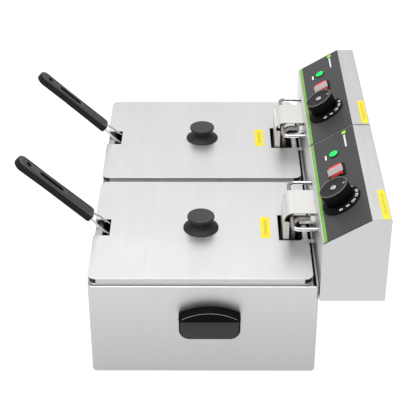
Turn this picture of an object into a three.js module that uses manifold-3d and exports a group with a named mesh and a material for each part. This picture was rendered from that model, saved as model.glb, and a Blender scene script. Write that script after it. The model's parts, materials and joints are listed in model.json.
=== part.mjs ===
// Twin-tank countertop deep fryer. Millimetres, +Z up, the user stands at -Y.
// The origin is on the floor, under the middle of the overall box.
import * as THREE from 'three';
import { mergeVertices } from 'three/addons/utils/BufferGeometryUtils.js';
import Module from 'manifold-3d';

const wasm = await Module();
wasm.setup();

// ---- driving dimensions ----------------------------------------------------
const gap = 0.3;                     // clearance between pieces that touch
const sheet = 1.2;                   // steel sheet of casing, heads and covers
const originShiftY = -5.5;           // centres the overall depth on the origin
const unitCentre = 140.5;            // each tank, lid and basket, from the middle
const headCentre = 139.5;            // each control head, from the middle

const casing = { halfWidth: 279, front: -158.7, back: 174.5, bottom: 14, top: 170, corner: 7 };
const foot = { radius: 13, tip: 10.5, height: 14, insetX: 48, insetY: 45 };
const tank = { halfWidth: 120, front: -146, back: 153, depth: 150, wall: 1, corner: 26 };
const flange = { halfWidth: 133.5, front: -157.5, back: 165, thickness: 1.5, corner: 12 };
const lid = { halfWidth: 134, front: -159, back: 166, top: 181, plate: 1, corner: 12 };
const lidCornerFree = 11.5;          // length of skirt left off next to each corner
const frontNotch = { halfWidth: 22.5, depth: 24.5 };
const rearNotch = { halfWidth: 35, depth: 45 };
const knob = { base: 27.35, neck: 12, top: 20.75, height: 22 };
const carryHandle = { halfWidth: 45, low: 77, high: 136, depth: 17, centre: 17 };

const basket = { halfWidth: 92.5, front: -117, back: 112, bottom: 52.5, top: 158.2, wall: 2, corner: 20 };
const rimHeight = 5;
const handle = { wire: 1.7, halfSpacing: 14, length: 145, halfWidth: 13.5, halfThickness: 6 };
const handleNotchPoint = new THREE.Vector3(0, -139, 180.5);  // wires' axis in the lid's notch
const handleTip = new THREE.Vector3(0, -268, 301);
const gripStart = 31;              // along the handle, from the notch to the grip

const head = { halfWidth: 138.5, front: 175.3, back: 270, bottom: 145, top: 283, slopeLow: 242, ridge: 243 };
const faceplate = { halfWidth: 137.2, halfLength: 38.2, thickness: 0.8, upShift: 0.6 };
const dial = { x: 57, skirt: 30, grip: 23, height: 28 };
const rocker = { x: -24.5, halfLength: 13, halfWidth: 10, tilt: THREE.MathUtils.degToRad(8) };
const lamp = { x: -79, radius: 8 };
const element = { radius: 4, halfSpacing: 20, exitHeight: 211, legY: 142, floor: 46 };
const riser = { halfWidth: 32.5, front: 127, top: 228, bend: 14, flange: 8.6, lip: 3, flangeTop: 213, bottom: 62 };
const drainHook = { wire: 2.5, halfWidth: 66, front: 138.5, height: 221 };
const hanger = { halfWidth: 30, lip: 150.5, drop: 24 };
const gland = { x: -100, z: 172, radius: 9, length: 14 };
const reset = { x: 60, z: 190, radius: 5, travel: 2 };

const flangeTop = casing.top + gap + flange.thickness;
const skirtBottom = flangeTop + gap;
const slopeAngle = Math.atan2(head.top - head.slopeLow, head.ridge - head.front);
const slopeMiddle = new THREE.Vector3(0, (head.front + head.ridge) / 2, (head.slopeLow + head.top) / 2);
const handleAxis = handleTip.clone().sub(handleNotchPoint).normalize();

// ---- finishes ----------------------------------------------------------------
const finish = (color, roughness, metalness) => new THREE.MeshStandardMaterial({ color, roughness, metalness });
const brushedSteel = finish(0xcfcfd4, 0.38, 0.9);
const tankSteel = finish(0xb9babd, 0.32, 0.95);
const wireSteel = finish(0xc4c5c8, 0.25, 1.0);
const blackPlastic = finish(0x1b1b1d, 0.5, 0.0);
const greyPlate = finish(0x525357, 0.45, 0.3);
const rubber = finish(0x202020, 0.85, 0.0);
const redPlastic = finish(0xd8182a, 0.35, 0.0);
const greenGlass = finish(0x19d264, 0.2, 0.0);
const ceramic = finish(0xd9d4c6, 0.7, 0.0);
const elementSteel = finish(0x8d8c88, 0.45, 0.9);

// ---- shape helpers -------------------------------------------------------------
function toSolid(geometry) {
  const bare = geometry.clone();
  bare.deleteAttribute('normal');
  bare.deleteAttribute('uv');
  const merged = mergeVertices(bare, 1e-4);
  return new wasm.Manifold(new wasm.Mesh({
    numProp: 3,
    vertProperties: new Float32Array(merged.attributes.position.array),
    triVerts: new Uint32Array(merged.index.array),
  }));
}

function toGeometry(solid) {
  const { vertProperties, triVerts } = solid.getMesh();
  const geometry = new THREE.BufferGeometry();
  geometry.setAttribute('position', new THREE.BufferAttribute(new Float32Array(vertProperties), 3));
  geometry.setIndex(new THREE.BufferAttribute(new Uint32Array(triVerts), 1));
  geometry.computeVertexNormals();
  return geometry;
}

const cut = (body, ...tools) => toGeometry(tools.reduce((rest, tool) => rest.subtract(toSolid(tool)), toSolid(body)));
const join = (body, ...others) => toGeometry(others.reduce((sum, other) => sum.add(toSolid(other)), toSolid(body)));

function block(x0, x1, y0, y1, z0, z1) {
  return new THREE.BoxGeometry(x1 - x0, y1 - y0, z1 - z0).translate((x0 + x1) / 2, (y0 + y1) / 2, (z0 + z1) / 2);
}

function roundedOutline(x0, x1, y0, y1, radius) {
  const outline = new THREE.Shape();
  outline.absarc(x1 - radius, y1 - radius, radius, 0, Math.PI / 2);
  outline.absarc(x0 + radius, y1 - radius, radius, Math.PI / 2, Math.PI);
  outline.absarc(x0 + radius, y0 + radius, radius, Math.PI, Math.PI * 1.5);
  outline.absarc(x1 - radius, y0 + radius, radius, Math.PI * 1.5, Math.PI * 2);
  return outline;
}

// A plan outline raised from z0 to z1.
function plate(outline, z0, z1, curveSegments = 4) {
  const options = { depth: z1 - z0, bevelEnabled: false, curveSegments };
  return new THREE.ExtrudeGeometry(outline, options).translate(0, 0, z0);
}

// An outline given in (Y, Z), run along X.
const acrossBasis = new THREE.Matrix4().makeBasis(
  new THREE.Vector3(0, 1, 0), new THREE.Vector3(0, 0, 1), new THREE.Vector3(1, 0, 0));
function across(outline, x0, x1, curveSegments = 5) {
  return plate(outline, x0, x1, curveSegments).applyMatrix4(acrossBasis);
}

const polygon = (...points) => new THREE.Shape(points.map(([a, b]) => new THREE.Vector2(a, b)));

// A profile of [radius, height] pairs turned round the Z axis.
function turned(profile, segments = 18) {
  const points = profile.map(([radius, height]) => new THREE.Vector2(radius, height));
  return new THREE.LatheGeometry(points, segments).rotateX(Math.PI / 2);
}

function rod(radius, z0, z1, segments = 12) {
  return turned([[0, z0], [radius, z0], [radius, z1], [0, z1]], segments);
}

// Straight runs between corners, joined by round bends.
class BentPath extends THREE.Curve {
  constructor(corners, bendRadius, bendSteps = 3) {
    super();
    this.stops = [corners[0].clone()];
    for (let i = 1; i < corners.length - 1; i += 1) {
      const back = corners[i - 1].clone().sub(corners[i]).normalize();
      const onward = corners[i + 1].clone().sub(corners[i]).normalize();
      const half = back.angleTo(onward) / 2;
      const centre = back.clone().add(onward).normalize()
        .multiplyScalar(bendRadius / Math.sin(half)).add(corners[i]);
      const inset = bendRadius / Math.tan(half);
      const from = back.multiplyScalar(inset).add(corners[i]).sub(centre);
      const to = onward.multiplyScalar(inset).add(corners[i]).sub(centre);
      const sweep = from.angleTo(to);
      for (let k = 0; k <= bendSteps; k += 1) {
        const a = (k / bendSteps) * sweep;
        this.stops.push(centre.clone()
          .addScaledVector(from, Math.sin(sweep - a) / Math.sin(sweep))
          .addScaledVector(to, Math.sin(a) / Math.sin(sweep)));
      }
    }
    this.stops.push(corners[corners.length - 1].clone());
  }

  getSpacedPoints() {
    return this.stops.map((stop) => stop.clone());
  }

  getPoint(t) {
    return this.stops[Math.round(t * (this.stops.length - 1))].clone();
  }

  getTangentAt(u) {
    const last = this.stops.length - 1;
    const i = Math.round(u * last);
    return this.stops[Math.min(i + 1, last)].clone().sub(this.stops[Math.max(i - 1, 0)]).normalize();
  }
}

function bentRod(corners, radius, bendRadius, sides = 6) {
  const path = new BentPath(corners.map((corner) => new THREE.Vector3(...corner)), bendRadius);
  const section = new THREE.Shape(new THREE.EllipseCurve(0, 0, radius, radius).getPoints(sides).slice(0, sides));
  const options = { extrudePath: path, steps: path.stops.length - 1, curveSegments: 1 };
  return new THREE.ExtrudeGeometry(section, options);
}

const group = new THREE.Group();
group.position.y = originShiftY;

function add(parent, name, geometry, material) {
  const mesh = new THREE.Mesh(geometry, material);
  mesh.name = name;
  parent.add(mesh);
  return mesh;
}

// ---- casing --------------------------------------------------------------------
function outerCasing() {
  const { halfWidth, front, back, bottom, top, corner } = casing;
  const outer = plate(roundedOutline(-halfWidth, halfWidth, front, back, corner), bottom, top);
  const inner = plate(roundedOutline(-halfWidth + sheet, halfWidth - sheet, front + sheet, back - sheet,
    corner - sheet), bottom - 1, top - sheet);
  const tankHoles = [-unitCentre, unitCentre].map((x) => tankOutline(gap, x)).map((hole) => plate(hole, 100, 200));
  return cut(outer, inner, ...tankHoles);
}

function basePlate() {
  const edge = sheet + gap;
  const { halfWidth, front, back, corner } = casing;
  const tray = plate(roundedOutline(-halfWidth + edge, halfWidth - edge, front + edge, back - edge,
    corner - edge), foot.height + gap, foot.height + 8);
  const hollow = plate(roundedOutline(-halfWidth + edge + sheet, halfWidth - edge - sheet, front + edge + sheet,
    back - edge - sheet, corner - edge - sheet), foot.height + gap + sheet, foot.height + 9);
  const vents = [];
  for (const x of [-unitCentre, unitCentre]) {
    for (let row = -1; row <= 1; row += 1) {
      const y = row * 24;
      vents.push(block(x - 40, x + 40, y - 2.5, y + 2.5, 0, foot.height + 5));
    }
  }
  return cut(tray, hollow, ...vents);
}

function rubberFoot() {
  return turned([[0, 0], [foot.tip - 1, 0], [foot.tip, 1], [foot.radius, foot.height], [0, foot.height]], 14);
}

// Back plate with an arched hood over the fingers, drawn in (Y, Z) and run out along X.
function handleOutline(halfWidth, low, high, rise, lowCorner) {
  const outline = new THREE.Shape();
  const bulge = (halfWidth * halfWidth + rise * rise) / (2 * rise);
  const spread = Math.asin(halfWidth / bulge);
  outline.absarc(0, high - bulge, bulge, Math.PI / 2 - spread, Math.PI / 2 + spread);
  outline.absarc(-halfWidth + lowCorner, low + lowCorner, lowCorner, Math.PI, Math.PI * 1.5);
  outline.absarc(halfWidth - lowCorner, low + lowCorner, lowCorner, Math.PI * 1.5, Math.PI * 2);
  return outline;
}

function carryGrip() {
  const { halfWidth, low, high, depth } = carryHandle;
  const backPlate = across(handleOutline(halfWidth, low, high, 12, 16), 0, 3.5);
  const hood = across(handleOutline(halfWidth, 103, high, 12, 1), 1, depth);
  const fingers = across(handleOutline(halfWidth - 5, 90, high - 6, 11, 1), 3.5, depth - 4);
  return cut(join(backPlate, hood), fingers);
}

add(group, 'outer_casing', outerCasing(), brushedSteel);
add(group, 'base_plate', basePlate(), tankSteel);
for (const [sideName, sign] of [['left', -1], ['right', 1]]) {
  for (const [endName, y] of [['front', casing.front + foot.insetY], ['rear', casing.back - foot.insetY]]) {
    add(group, `foot_${endName}_${sideName}`, rubberFoot(), rubber)
      .position.set(sign * (casing.halfWidth - foot.insetX), y, 0);
  }
  const carry = add(group, `carry_handle_${sideName}`, carryGrip(), blackPlastic);
  carry.position.set(sign * (casing.halfWidth + gap), carryHandle.centre, 0);
  if (sign < 0) carry.geometry.rotateZ(Math.PI);
}

// ---- tank, lid and basket ---------------------------------------------------------
function tankOutline(extra, x = 0) {
  const grow = tank.wall + extra;
  return roundedOutline(x - tank.halfWidth - grow, x + tank.halfWidth + grow, tank.front - grow,
    tank.back + grow, tank.corner + grow);
}

function oilTank() {
  const rim = plate(roundedOutline(-flange.halfWidth, flange.halfWidth, flange.front, flange.back,
    flange.corner), flangeTop - flange.thickness, flangeTop);
  const pan = plate(tankOutline(0), flangeTop - tank.depth - tank.wall, flangeTop - 0.2);
  const hollow = plate(roundedOutline(-tank.halfWidth, tank.halfWidth, tank.front, tank.back, tank.corner),
    flangeTop - tank.depth, flangeTop + 1);
  return cut(join(pan, rim), hollow);
}

function lidPlate() {
  const { halfWidth, front, back, top, corner } = lid;
  const cover = plate(roundedOutline(-halfWidth, halfWidth, front, back, corner), top - lid.plate, top);
  const free = corner + lidCornerFree;
  const skirts = [
    block(-halfWidth, -halfWidth + 1, front + free, back - free, skirtBottom, top - 0.5),
    block(halfWidth - 1, halfWidth, front + free, back - free, skirtBottom, top - 0.5),
    block(-halfWidth + free, halfWidth - free, front, front + 1, skirtBottom, top - 0.5),
    block(-halfWidth + free, halfWidth - free, back - 1, back, skirtBottom, top - 0.5),
  ];
  const notches = [
    block(-frontNotch.halfWidth, frontNotch.halfWidth, front - 5, front + frontNotch.depth, 100, 200),
    block(-rearNotch.halfWidth, rearNotch.halfWidth, back - rearNotch.depth, back + 5, 100, 200),
  ];
  return cut(join(cover, ...skirts), ...notches);
}

function lidKnob() {
  const { base, neck, top, height } = knob;
  return turned([[0, 0], [base, 0], [base, 2], [base - 7, 5], [neck, 7.5], [neck, height - 7],
    [top - 2, height - 5.5], [top, height - 4], [top, height - 1], [top - 1.5, height], [0, height]]);
}

// Narrows a raised outline towards its lower end.
function taperDown(geometry, amount, centreY) {
  geometry.computeBoundingBox();
  const { min, max } = geometry.boundingBox;
  const halfX = (max.x - min.x) / 2;
  const halfY = (max.y - min.y) / 2;
  const points = geometry.attributes.position;
  for (let i = 0; i < points.count; i += 1) {
    const down = (max.z - points.getZ(i)) / (max.z - min.z);
    points.setX(i, points.getX(i) * (1 - (down * amount) / halfX));
    points.setY(i, centreY + (points.getY(i) - centreY) * (1 - (down * amount) / halfY));
  }
  return geometry;
}

function basketOutline(inset) {
  return roundedOutline(-basket.halfWidth + inset, basket.halfWidth - inset, basket.front + inset,
    basket.back - inset, basket.corner - inset);
}

function basketTray() {
  const { bottom, top, wall, front, back } = basket;
  const centreY = (front + back) / 2;
  const outer = taperDown(plate(basketOutline(0), bottom, top), 7, centreY);
  const inner = taperDown(plate(basketOutline(wall), bottom + wall, top + 1), 7, centreY);
  return cut(outer, inner);
}

function basketRim() {
  const low = basket.top + gap;
  const outline = basketOutline(-1);
  outline.holes.push(basketOutline(4));
  const shelf = block(-handle.halfSpacing - 3, handle.halfSpacing + 3, basket.front - 8, basket.front + 1,
    low, low + 3);
  return join(plate(outline, low, low + rimHeight), shelf);
}

const alongHandle = (distance) => handleNotchPoint.clone().addScaledVector(handleAxis, distance);

function handleWires() {
  const wireEnd = alongHandle(gripStart - gap);
  const crossbar = alongHandle(-22);
  const corner = (x, at) => [x, at.y, at.z];
  return bentRod([
    corner(handle.halfSpacing - 4, wireEnd), corner(handle.halfSpacing - 4, alongHandle(26)),
    corner(handle.halfSpacing, alongHandle(16)), corner(handle.halfSpacing, crossbar),
    corner(-handle.halfSpacing, crossbar), corner(-handle.halfSpacing, alongHandle(16)),
    corner(-handle.halfSpacing + 4, alongHandle(26)), corner(-handle.halfSpacing + 4, wireEnd),
  ], handle.wire, 4.5);
}

// Lies flat along +Y from its lower end, top face at +Z, before it is set on the handle's slope.
function gripBody() {
  const { length, halfWidth, halfThickness } = handle;
  const outline = new THREE.Shape();
  outline.moveTo(halfWidth, 2);
  outline.absarc(halfWidth - 9, length - 9, 9, 0, Math.PI / 2);
  outline.absarc(-halfWidth + 9, length - 9, 9, Math.PI / 2, Math.PI);
  outline.lineTo(-halfWidth, 2);
  outline.lineTo(-halfWidth + 2, 0);
  outline.lineTo(halfWidth - 2, 0);
  const slab = plate(outline, -halfThickness, halfThickness, 4);
  const hangHole = rod(4, -10, 10).translate(0, 126, 0);
  const slot = plate(roundedOutline(-3.5, 3.5, 60, 105, 3.4), -10, 10);
  const groove = plate(roundedOutline(-3, 3, 9, 55, 2.9), halfThickness - 2, 10);
  return cut(slab, hangHole, slot, groove);
}

function addGrip(parent, name) {
  const grip = add(parent, name, gripBody(), blackPlastic);
  const side = new THREE.Vector3(-1, 0, 0);
  const up = new THREE.Vector3().crossVectors(side, handleAxis);
  grip.applyMatrix4(new THREE.Matrix4().makeBasis(side, handleAxis, up));
  grip.position.copy(alongHandle(gripStart));
}

// ---- control head --------------------------------------------------------------------
function headProfile(inset) {
  const { front, back, bottom, top, slopeLow, ridge } = head;
  const slopeDrop = inset * Math.tan(slopeAngle / 2);
  return polygon(
    [front + inset, bottom + inset], [back + (inset ? 5 : 0), bottom + inset],
    [back + (inset ? 5 : 0), top - inset], [ridge + slopeDrop, top - inset],
    [front + inset, slopeLow - inset / Math.cos(slopeAngle) + inset * Math.tan(slopeAngle)]);
}

// Moves a tool drawn on the sloping panel (X across, Y up the slope, Z outwards) to its place.
function onSlope(geometry) {
  return geometry.rotateX(slopeAngle).translate(slopeMiddle.x, slopeMiddle.y, slopeMiddle.z);
}

function panelHoles() {
  return [
    rod(5.5, -20, 10).translate(dial.x, 0, 0),
    block(rocker.x - 14.5, rocker.x + 14.5, -11.5, 11.5, -20, 10),
    rod(6.5, -20, 10).translate(lamp.x, 0, 0),
  ];
}

function headShell() {
  const outer = across(headProfile(0), -head.halfWidth, head.halfWidth);
  const inner = across(headProfile(sheet), -head.halfWidth + sheet, head.halfWidth - sheet);
  return cut(outer, inner, ...panelHoles().map(onSlope));
}

function headBack() {
  const inset = sheet + gap;
  const panel = block(-head.halfWidth + inset, head.halfWidth - inset, head.back - sheet, head.back,
    head.bottom + inset, head.top - inset);
  const towardsBack = (geometry) => geometry.rotateX(Math.PI / 2);
  const glandHole = towardsBack(rod(7.2, -400, 0)).translate(gland.x, 0, gland.z);
  const resetHole = towardsBack(rod(7.2, -400, 0)).translate(reset.x, 0, reset.z);
  return cut(panel, glandHole, resetHole);
}

function controlPlate() {
  const { halfWidth, halfLength, thickness, upShift } = faceplate;
  const outline = roundedOutline(-halfWidth, halfWidth, upShift - halfLength, upShift + halfLength, 1.5);
  const slab = plate(outline, gap, gap + thickness, 2);
  return onSlope(cut(slab, ...panelHoles()));
}

function thermostat() {
  const body = block(-21, 21, -18, 18, -28, -3);
  const bush = rod(5, -5, 3);
  const spindle = rod(3, 0, 15);
  return onSlope(join(body, bush, spindle).translate(dial.x, 0, 0));
}

function dialKnob() {
  const low = gap * 2 + faceplate.thickness + 0.6;
  const high = low + dial.height;
  const skirtTop = low + 4;
  const skirt = turned([[0, low], [dial.skirt, low], [dial.skirt, low + 2], [dial.grip + 3, skirtTop + 3],
    [0, skirtTop + 3]], 24);
  const lobed = new THREE.Shape();
  const lobes = 12;
  for (let i = 0; i < lobes * 2; i += 1) {
    const a = (i / (lobes * 2)) * Math.PI * 2;
    const radius = dial.grip - 1 + Math.cos(lobes * a);
    if (i === 0) lobed.moveTo(radius, 0);
    else lobed.lineTo(radius * Math.cos(a), radius * Math.sin(a));
  }
  const grip = plate(lobed, skirtTop, high);
  const bore = rod(3 + gap, 0, 15 + gap * 2);
  const bushRoom = rod(6, 0, 3 + gap * 2);
  return onSlope(cut(join(skirt, grip), bore, bushRoom).translate(dial.x, 0, 0));
}

function pilotLamp() {
  const low = gap * 2 + faceplate.thickness;
  const { radius } = lamp;
  const lens = turned([[0, -18], [5.8, -18], [5.8, low], [radius, low], [radius, low + 2], [radius - 2, low + 5],
    [radius - 5, low + 6.5], [0, low + 7]], 14);
  return onSlope(lens.translate(lamp.x, 0, 0));
}

function rockerHousing() {
  const low = gap * 2 + faceplate.thickness;
  const bezel = block(-16, 16, -14, 14, low, low + 2.2);
  const body = block(-14.2, 14.2, -11.2, 11.2, -18, low + 1);
  const well = block(-13.6, 13.6, -10.6, 10.6, -9, 20);
  return onSlope(cut(join(bezel, body), well).translate(rocker.x, 0, 0));
}

// The rocker turns about its pivot, which lies along the slope, low in the housing.
const rockerPivot = -2;
function rockerButton() {
  const { halfLength, halfWidth, tilt } = rocker;
  const crown = 7;
  const rise = (halfLength - 0.6) * Math.tan(tilt);
  const outline = polygon(
    [-halfLength + 2.5, -3], [halfLength - 2.5, -3], [halfLength - 0.6, crown + rise],
    [0, crown], [-halfLength + 0.6, crown + rise]);
  const body = plate(outline, -halfWidth, halfWidth).rotateX(Math.PI / 2);
  return onSlope(body.rotateY(tilt).translate(rocker.x, 0, rockerPivot));
}

function resetGuard() {
  const toBack = (geometry) => geometry.rotateX(-Math.PI / 2).translate(reset.x, head.back, reset.z);
  const collar = turned([[0, -22], [6.8, -22], [6.8, gap], [11, gap], [11, 3], [9, 6], [0, 6]], 16);
  return toBack(cut(collar, rod(reset.radius + gap, -8, 10)));
}

function resetPlunger() {
  const button = turned([[0, -8 + reset.travel + gap], [reset.radius, -8 + reset.travel + gap],
    [reset.radius, 7.5], [reset.radius - 1, 8.2], [0, 8.2]], 12);
  return button.rotateX(-Math.PI / 2).translate(reset.x, head.back, reset.z);
}

function cableGland() {
  const collar = turned([[3.6, -6], [6.8, -6], [6.8, gap], [gland.radius, gap], [gland.radius, 6],
    [gland.radius - 2, 7], [gland.radius - 3, gland.length], [3.6, gland.length], [3.6, -6]], 14);
  return collar.rotateX(-Math.PI / 2).translate(gland.x, head.back, gland.z);
}

function terminalBlock() {
  const body = block(-125, -60, 205, 228, 148, 166);
  const wells = [0, 1, 2, 3].map((i) => rod(4, 158, 170).translate(-116 + i * 16, 216, 0));
  return cut(body, ...wells);
}

function heaterPath() {
  const { halfSpacing, exitHeight, legY, floor } = element;
  const start = head.front - gap;
  const lane = (x, y) => [x, y, floor];
  return [
    [halfSpacing, start, exitHeight], [halfSpacing, legY, exitHeight], [halfSpacing, legY, floor + 30],
    [halfSpacing + 10, legY - 14, floor], lane(78, 110), lane(78, -112), lane(46, -112), lane(46, 84),
    lane(16, 84), lane(16, -112), lane(-16, -112), lane(-16, 84), lane(-46, 84), lane(-46, -112),
    lane(-78, -112), lane(-78, 110), [-halfSpacing - 10, legY - 14, floor],
    [-halfSpacing, legY, floor + 30], [-halfSpacing, legY, exitHeight], [-halfSpacing, start, exitHeight],
  ];
}

function heatingElement() {
  const tube = bentRod(heaterPath(), element.radius, 12);
  const nut = (x) => turned([[0, 0], [8.6, 0], [8.6, 6], [0, 6]], 6).rotateX(-Math.PI / 2)
    .translate(x, head.front - gap - 6, element.exitHeight);
  return join(tube, nut(element.halfSpacing), nut(-element.halfSpacing));
}

function sensorBulb() {
  const { exitHeight, legY } = element;
  const capillary = bentRod([[0, head.front - gap, exitHeight], [0, legY, exitHeight], [0, legY, 108]], 1.5, 10, 6);
  return join(capillary, rod(3, 52, 110).translate(0, legY, 0));
}

// A bent cover: flat top from the head, a round bend, then a leg down into the tank.
function riserBand(inset, x) {
  const { front, top, bend, flange: depth, bottom } = riser;
  const outer = new THREE.Shape();
  const back = head.front - gap;
  const bendY = front + bend;
  const bendZ = top - bend;
  outer.moveTo(back + inset, top - inset);
  outer.lineTo(bendY, top - inset);
  outer.absarc(bendY, bendZ, bend - inset, Math.PI / 2, Math.PI);
  outer.lineTo(front + inset, bottom - inset);
  outer.lineTo(front + depth + inset, bottom - inset);
  outer.absarc(bendY, bendZ, bend - depth - inset * 0.2, Math.PI, Math.PI / 2, true);
  outer.lineTo(back + inset, top - depth - inset);
  return across(outer, -x, x);
}

function riserCover() {
  const channel = riserBand(0, riser.halfWidth);
  const room = riserBand(sheet, riser.halfWidth - sheet);
  const { front, wire, height } = drainHook;
  const hookSlot = block(-50, 50, front - wire - 0.6, front + wire + 0.6, height - 8, height + wire + 0.6);
  const belowBend = block(-50, 50, riser.front - 1, head.front + 1, riser.bottom - 10, riser.flangeTop);
  const openSides = cut(riserBand(riser.lip, riser.halfWidth + 1), belowBend);
  return cut(channel, room, hookSlot, openSides);
}

function drainLoop() {
  const { wire, halfWidth, front, height } = drainHook;
  const start = head.front - gap;
  return bentRod([[halfWidth, start, height], [halfWidth, front, height], [-halfWidth, front, height],
    [-halfWidth, start, height]], wire, 12);
}

function hangerBracket() {
  const { halfWidth, lip, drop } = hanger;
  const low = flangeTop + 1;
  const bend = block(-halfWidth, halfWidth, lip, head.front - gap, low, low + 1.5);
  const hook = block(-halfWidth, halfWidth, lip, lip + 1.5, low - drop, low + 1);
  return join(bend, hook);
}

for (const [sideName, sign] of [['left', -1], ['right', 1]]) {
  const unit = new THREE.Group();
  unit.position.x = sign * unitCentre;
  group.add(unit);
  add(unit, `oil_tank_${sideName}`, oilTank(), tankSteel);
  add(unit, `lid_${sideName}`, lidPlate(), brushedSteel);
  add(unit, `lid_knob_${sideName}`, lidKnob(), blackPlastic)
    .position.set(0, (lid.front + lid.back) / 2, lid.top + gap);
  add(unit, `basket_mesh_${sideName}`, basketTray(), wireSteel);
  add(unit, `basket_rim_${sideName}`, basketRim(), wireSteel);
  add(unit, `handle_wires_${sideName}`, handleWires(), wireSteel);
  addGrip(unit, `basket_grip_${sideName}`);
  add(unit, `heating_element_${sideName}`, heatingElement(), elementSteel);
  add(unit, `thermostat_bulb_${sideName}`, sensorBulb(), elementSteel);
  add(unit, `riser_cover_${sideName}`, riserCover(), brushedSteel);
  add(unit, `drain_hook_${sideName}`, drainLoop(), wireSteel);
  add(unit, `hanger_bracket_${sideName}`, hangerBracket(), tankSteel);

  const controls = new THREE.Group();
  controls.position.x = sign * headCentre;
  group.add(controls);
  add(controls, `head_shell_${sideName}`, headShell(), brushedSteel);
  add(controls, `head_back_${sideName}`, headBack(), brushedSteel);
  add(controls, `faceplate_${sideName}`, controlPlate(), greyPlate);
  add(controls, `thermostat_${sideName}`, thermostat(), ceramic);
  add(controls, `dial_${sideName}`, dialKnob(), blackPlastic);
  add(controls, `pilot_lamp_${sideName}`, pilotLamp(), greenGlass);
  add(controls, `switch_housing_${sideName}`, rockerHousing(), blackPlastic);
  add(controls, `rocker_${sideName}`, rockerButton(), redPlastic);
  add(controls, `reset_guard_${sideName}`, resetGuard(), blackPlastic);
  add(controls, `reset_button_${sideName}`, resetPlunger(), redPlastic);
  add(controls, `cable_gland_${sideName}`, cableGland(), blackPlastic);
  add(controls, `terminal_block_${sideName}`, terminalBlock(), ceramic);
}

export default group;
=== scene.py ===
import json
import math

import bmesh
import bpy
from mathutils import Matrix, Vector
from mathutils.geometry import tessellate_polygon


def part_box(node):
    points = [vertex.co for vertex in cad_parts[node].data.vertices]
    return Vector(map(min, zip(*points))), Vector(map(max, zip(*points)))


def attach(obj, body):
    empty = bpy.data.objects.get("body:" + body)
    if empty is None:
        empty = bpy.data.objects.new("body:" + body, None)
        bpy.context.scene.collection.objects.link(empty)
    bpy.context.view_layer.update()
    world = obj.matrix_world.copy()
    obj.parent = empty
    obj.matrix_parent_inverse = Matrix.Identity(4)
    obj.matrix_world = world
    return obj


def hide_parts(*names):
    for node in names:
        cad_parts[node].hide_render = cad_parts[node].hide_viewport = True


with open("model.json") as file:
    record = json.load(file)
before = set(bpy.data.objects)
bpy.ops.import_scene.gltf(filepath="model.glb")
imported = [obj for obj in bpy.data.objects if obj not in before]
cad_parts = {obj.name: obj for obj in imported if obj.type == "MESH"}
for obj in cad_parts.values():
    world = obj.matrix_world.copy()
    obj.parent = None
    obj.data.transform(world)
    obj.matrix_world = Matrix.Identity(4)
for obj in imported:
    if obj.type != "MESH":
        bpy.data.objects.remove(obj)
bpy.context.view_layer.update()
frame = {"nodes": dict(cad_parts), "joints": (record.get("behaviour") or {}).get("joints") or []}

MM = 0.001      # shapes are in millimetres, and place() brings a piece to metres
SIDES = (("left", -1), ("right", 1))
JOINTS = {joint["name"]: joint for joint in frame["joints"]}


def box(node):
    """Low and high corner of a CAD node, in millimetres."""
    low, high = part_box(node)
    return low / MM, high / MM


# ---- node trees ----------------------------------------------------------------------

class Value:
    """A socket in a node tree. Arithmetic on it adds Math nodes."""

    def __init__(self, tree, socket):
        self.tree, self.socket = tree, socket

    def math(self, operation, *terms):
        return self.tree.node("ShaderNodeMath", {"operation": operation}, dict(enumerate(terms)))

    def output(self, name):
        return Value(self.tree, self.socket.node.outputs[name])

    def __add__(self, other):
        return self.math("ADD", self, other)

    def __mul__(self, other):
        return self.math("MULTIPLY", self, other)

    __radd__ = __add__
    __rmul__ = __mul__


class Tree:
    """A node tree, shader or geometry, in which every node is made by one method."""

    def __init__(self, tree):
        self.tree = tree

    def node(self, kind, settings=None, sockets=None, output=0):
        made = self.tree.nodes.new(kind)
        for name, value in (settings or {}).items():
            if name == "stops":
                self._set_stops(made.color_ramp.elements, value)
            else:
                setattr(made, name, value)
        for name, value in (sockets or {}).items():
            if isinstance(value, Value):
                self.tree.links.new(value.socket, made.inputs[name])
            else:
                made.inputs[name].default_value = value
        return Value(self, made.outputs[output]) if made.outputs else None

    @staticmethod
    def _set_stops(elements, stops):
        while len(elements) < len(stops):
            elements.new(1.0)
        for element, (position, colour) in zip(elements, stops):
            element.position = position
            element.color = colour


def grey(level):
    return (level, level, level, 1.0)


def shaded(colour, factor):
    return tuple(factor * c for c in colour) + (1.0,)


def object_place(tree, scale):
    """Object coordinates, scaled: the number of noise cells per metre along X, Y and Z."""
    place = tree.node("ShaderNodeTexCoord", output="Object")
    return tree.node("ShaderNodeMapping", {}, {"Vector": place, "Scale": scale})


def noise(tree, scale, detail=3.0):
    place = object_place(tree, scale)
    return tree.node("ShaderNodeTexNoise", {}, {"Vector": place, "Scale": 1.0, "Detail": detail})


def between(tree, factor, low, high):
    """A colour from low to high as factor goes from 0 to 1."""
    return tree.node("ShaderNodeMix", {"data_type": "RGBA"}, {0: factor, 6: low, 7: high}, output=2)


def bumped(tree, height, depth, strength=1.0):
    """A normal for a surface whose height of 1 stands depth metres proud."""
    return tree.node("ShaderNodeBump", {}, {"Height": height, "Distance": depth, "Strength": strength})


def finish_material(name, build):
    """A material whose build(tree) gives the sockets of its Principled shader."""
    material = bpy.data.materials.new(name)
    material.use_nodes = True
    material.node_tree.nodes.clear()
    tree = Tree(material.node_tree)
    shader = tree.node("ShaderNodeBsdfPrincipled", {}, build(tree))
    tree.node("ShaderNodeOutputMaterial", {}, {"Surface": shader})
    return material


# ---- finishes ------------------------------------------------------------------------

FINE_GRAIN = 1500.0      # brush lines per metre across the grain
BROAD_GRAIN = 110.0
ALONG_GRAIN = 5.0


def across_grain(axis, cells):
    return tuple(ALONG_GRAIN if i == axis else cells for i in range(3))


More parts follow.
